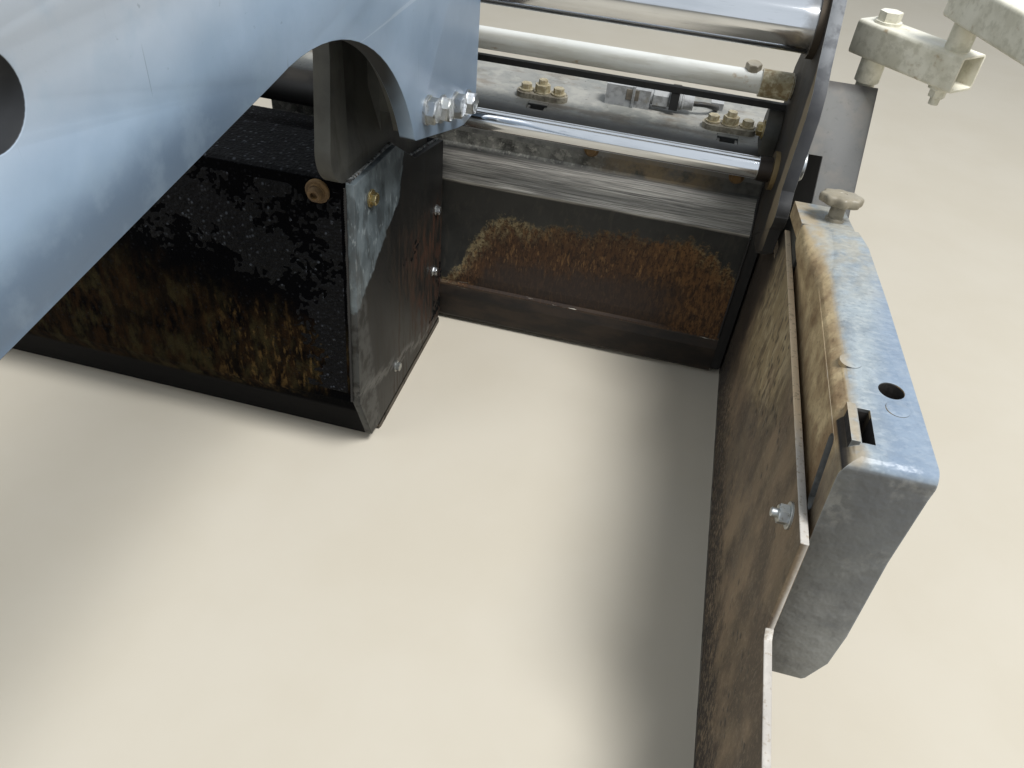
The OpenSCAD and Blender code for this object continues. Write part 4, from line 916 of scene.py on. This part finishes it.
def plate_crust():
    """Grit along the lower rear edge of the main end plate, thickest at the edge: height = cover + lumps of
    35 and 14 mm + grains of 7 and 4 mm."""
    u, v = np.meshgrid(np.linspace(-0.12, 0.204, 260), np.linspace(0.045, 0.33, 230))
    lumps = lattice(u, v, 0.035, 11) + 0.6 * lattice(u, v, 0.014, 12)
    grains = 0.6 * lattice(u, v, 0.007, 13) + 0.5 * lattice(u, v, 0.004, 14)
    cover = np.clip((u - 0.150 + 0.55 * (0.125 - v)) / 0.05, -1, 1) * np.clip((0.30 - v) / 0.06, 0, 1)
    height = 0.0022 * cover + 0.0016 * lumps + 0.0022 * grains * np.clip(cover + 0.6, 0, 1) - 0.0016
    place = np.stack([0 * u + MAIN_SIDE, u, v], -1)
    crust("end_plate_crust", u, v, place, X, height, fall=1.2, sink=0.0008)


wall_crust()
plate_crust()


def treads(name, low, high, top, body):
    """Raised tread of a step: lens-shaped bars on a square pattern, each turned against its neighbour. A bar
    is a grid over s along and t across, with height h (1 - s^2) (1 - t^2)."""
    rows, columns, pitch = 5, 7, 0.034
    long, wide, tall = 0.014, 0.0035, 0.0016
    s, t = np.meshgrid(np.linspace(-1, 1, columns), np.linspace(-1, 1, rows))
    span = np.sqrt(np.clip(1 - t ** 2, 0, 1))
    along, across = long * s * np.maximum(span, 0.02), wide * t
    lift = tall * np.clip(1 - s ** 2, 0, 1) * np.clip(1 - t ** 2, 0, 1) - 0.1 * MM
    points, faces = [], []
    for i, x in enumerate(np.arange(low[0] + 0.03, high[0] - 0.02, pitch)):
        for j, y in enumerate(np.arange(low[1] + 0.03, high[1] - 0.02, pitch)):
            a = math.radians(45 if (i + j) % 2 else -45)
            faces += (cells(rows, columns) + len(points) * rows * columns).tolist()
            bar = np.stack([x + along * math.cos(a) - across * math.sin(a),
                            y + along * math.sin(a) + across * math.cos(a), top + lift], -1)
            points.append(bar.reshape(-1, 3))
    new_piece(name, np.concatenate(points), faces, body, "dark_paint", CHARCOAL, 60)


def make_treads():
    """Tread on both steps; the extension's step is a fold of sheet whose top starts at its front skirt."""
    low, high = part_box("main_walkway")
    treads("main_step_tread", low, high, high[2], "main")
    low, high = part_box("ext_walkway")
    treads("ext_step_tread", (low[0], high[1] - 0.240), high, high[2], "extension")


make_treads()


def connector_trim():
    """Ridged grips and gland nut of the plug, turned along X, and the connector's flange, clip and lever."""
    centre_z = TOP_PLATE_Z + 0.024
    rows = []
    for start in range(0, 30, 5):
        rows += [(16.5, start), (18.3, start + 1), (18.3, start + 3.2), (16.5, start + 4.2)]
    lathe("connector_grips", rows, [(1.579, CONNECTOR_Y, centre_z)], X, "extension", "connector_grey",
          ALUMINIUM, 40, 32)
    bolts("gland_nut", [(1.611, CONNECTOR_Y, centre_z)], X, (26, 16, 30, 3), "extension", ALUMINIUM,
          "connector_grey")
    for name, *corners, material in (
            ("connector_flange", 1497, 1503, 420.5, 465.5, 520.2, 566.5, ALUMINIUM),
            ("connector_clip", 1484, 1512, 421.5, 423.5, 536, 559, DIRTY),
            ("connector_lever", 1579.5, 1598, 416.5, 423.5, 531, 572, CABLE),
            ("connector_lever_bridge", 1579.5, 1598, 416.5, 464.5, 566, 572, CABLE)):
        block(name, *corners, "connector_grey", material)


connector_trim()


def slot_bridges():
    """The small lifting bridge in each slot of the top plate: a bar across and two legs."""
    for name, x in (("inner", 1305), ("outer", 1713)):
        for part, x0, x1, *corners in (("bar", -21.5, 21.5, 350, 363.5, 508, 520.5),
                                       ("leg_1", -21.5, -15.5, 328.5, 351, 505, 516.5),
                                       ("leg_2", 15.5, 21.5, 328.5, 351, 505, 516.5)):
            block(f"{name}_bridge_{part}", x + x0, x + x1, *corners, "dusty_steel", TOP_PLATE, 0.0015)


def star_knob():
    """Star knob of the gate: a turned form whose radius r swells to r (1 + 0.075 cos 8t) towards the rim, so
    that it has eight lobes. It leans back as the ledge does, and stands in place of the plainer solid."""
    rows = [(15, 0), (15, 4.5), (14.2, 5.5), (12, 5.8), (11.5, 25.5), (14, 27), (27, 27.2), (30.5, 29),
            (31.8, 32.5), (32, 38.5), (30.8, 41.5), (28, 43.2), (18, 44), (7.5, 44.2), (6.8, 43.4)]
    points, faces = turned(rows, 96)
    radius = np.hypot(points[:, 0], points[:, 1])
    angle = np.arctan2(points[:, 1], points[:, 0])
    grow = 1 + 0.075 * np.clip((radius - 0.018) / 0.011, 0, 1) * np.cos(8 * angle)
    points = points * np.stack([grow, grow, np.ones_like(grow)], 1)
    lean, reach = math.radians(10), 0.047
    foot = (GATE_IN + 0.049, -0.112 + reach * math.cos(lean), 0.586 - reach * math.sin(lean))
    form = set_out((points, faces), [foot], (0, math.sin(lean), math.cos(lean)))
    piece = new_piece("lobed_knob", *form, "gate", "zinc_plate", KNOB, 40)
    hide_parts("star_knob")


def ledge_fairing():
    """The housing's ledge lip runs out into the shoulder ahead of it. Its side bulges by w = 22 mm cos^2(pi
    t / 2), t from 0 at the lip to 1 at its front end, which a smooth step of z takes back to nothing at the
    gate's edge; a quarter |a|^p + |b|^p = 1, p from 10 to 2, leads over to the top."""
    t, v = np.meshgrid(np.linspace(0, 1, 20), np.linspace(0, 1, 24), indexing="ij")
    bulge = 0.0222 * np.cos(np.pi / 2 * t) ** 2
    rise = np.clip(v / 0.5, 0, 1)
    theta = np.pi / 2 * np.clip((v - 0.5) / 0.5, 0, 1)
    power = 2 / (2 + 8 * (1 - t) ** 6)
    side = HOUSING_X + 0.0005 - bulge * rise ** 2 * (3 - 2 * rise)
    top = 0.5855 + 0.0040 * np.clip(t / 0.08, 0, 1)
    x = side + (HOUSING_X + 0.026 - side) * (1 - np.cos(theta) ** power)
    z = 0.486 + 0.074 * rise + (top - 0.560) * np.sin(theta) ** power
    points = np.stack([x, -0.110 - 0.19 * t, z], -1)
    faces = cells(*t.shape)[:, [0, 3, 2, 1]].tolist() + [list(range(t.shape[1]))]
    new_piece("ledge_fairing", points, faces, "gate", "slate_paint", HOUSING, 60)


def gate_corner_plate():
    """Plate on the outer side of the gate's upper rear corner, which closes the view between it and the
    ledge."""
    outline = [(-80, 418), (205, 412), (205, 420), (175, 440), (130, 470), (90, 495), (50, 520), (10, 538),
               (-80, 554)]
    prism("gate_corner_plate", outline, GATE_OUT + 0.0003, GATE_OUT + 0.0053, "gate", "slate_paint", BRACKET)


def end_plate_gusset():
    """Stiffener below the end plate's nose, which closes the view between it and the gate."""
    outline = [(46, 440), (110, 400), (217, 379.5), (100, 456), (41.5, 492)]
    prism("end_plate_gusset", outline, PLATE_IN + 0.0005, PLATE_OUT - 0.0055, "extension", "slate_paint",
          EXT_PLATE)


slot_bridges()
star_knob()
ledge_fairing()
gate_corner_plate()
end_plate_gusset()

# Rounded copies of the plates whose edges show
for node, width, body, slot in (("gate_plate", 0.0012, "gate", "bitumen_steel"),
                                ("main_end_plate", 0.0012, "main", "dark_paint"),
                                ("tow_arm", 0.0015, "main", "slate_paint"),
                                ("tow_arm_bracket", 0.0015, "main", "dark_paint"),
                                ("ext_end_plate", 0.0015, "extension", "slate_paint"),
                                ("gate_housing", 0.0035, "gate", "slate_paint"),
                                ("gate_cover", 0.0012, "extension", "slate_paint"),
                                ("link_arm_1", 0.0008, "link_1", "zinc_plate"),
                                ("link_arm_2", 0.0008, "link_2", "zinc_plate"),
                                ("ear_lug", 0.002, "extension", "dark_paint"),
                                ("guide_towers", 0.001, "main", "dark_paint")):
    soften(node, width, body)


def make_stage():
    """A plain pale floor, one soft key and one fill lamp, and a pale sky that mirrors see as white."""
    side, lit, seen = 30.0, 0.42, 1.0
    floor = bpy.data.meshes.new("floor")
    corners = [(-side, -side, 0), (side, -side, 0), (side, side, 0), (-side, side, 0)]
    floor.from_pydata(corners, [], [(0, 1, 2, 3)])
    made = bpy.data.objects.new("floor", floor)
    finish = Coat("pale_concrete_floor", "#c9c1b0", 0.9)
    finish.fleck(ALL, "#cfc8b9", None, 0.6, 0.4, 0.5, 0.2)
    floor.materials.append(finish.done())
    bpy.context.collection.objects.link(made)
    world = bpy.data.worlds.new("sky")
    bpy.context.scene.world = world
    world.use_nodes = True
    tree = world.node_tree
    sky = tree.nodes["Background"]
    sky.inputs["Color"].default_value = srgb("#e6eef6")
    rays = add(tree, "LightPath").outputs
    either = add(tree, "Math", {0: rays["Is Camera Ray"], 1: rays["Is Glossy Ray"]}, operation="MAXIMUM")
    strength = add(tree, "MapRange", {"Value": either.outputs[0], "To Min": lit, "To Max": seen})
    tree.links.new(strength.outputs[0], sky.inputs["Strength"])
    for name, place, aim, size, power in (("key", (3.6, -1.2, 5.2), (1.4, 0.0, 0.3), 1.8, 330.0),
                                          ("fill", (-2.5, -4.0, 4.0), (1.0, 0.0, 0.3), 3.0, 60.0)):
        lamp = bpy.data.lights.new(name, "AREA")
        lamp.size, lamp.energy = size, power
        light = bpy.data.objects.new(name, lamp)
        bpy.context.collection.objects.link(light)
        light.location = place
        light.rotation_mode = "QUATERNION"
        light.rotation_quaternion = Vector(np.array(aim) - np.array(place)).to_track_quat("-Z", "Y")


make_stage()

scene = bpy.context.scene
scene.view_settings.view_transform = "Standard"
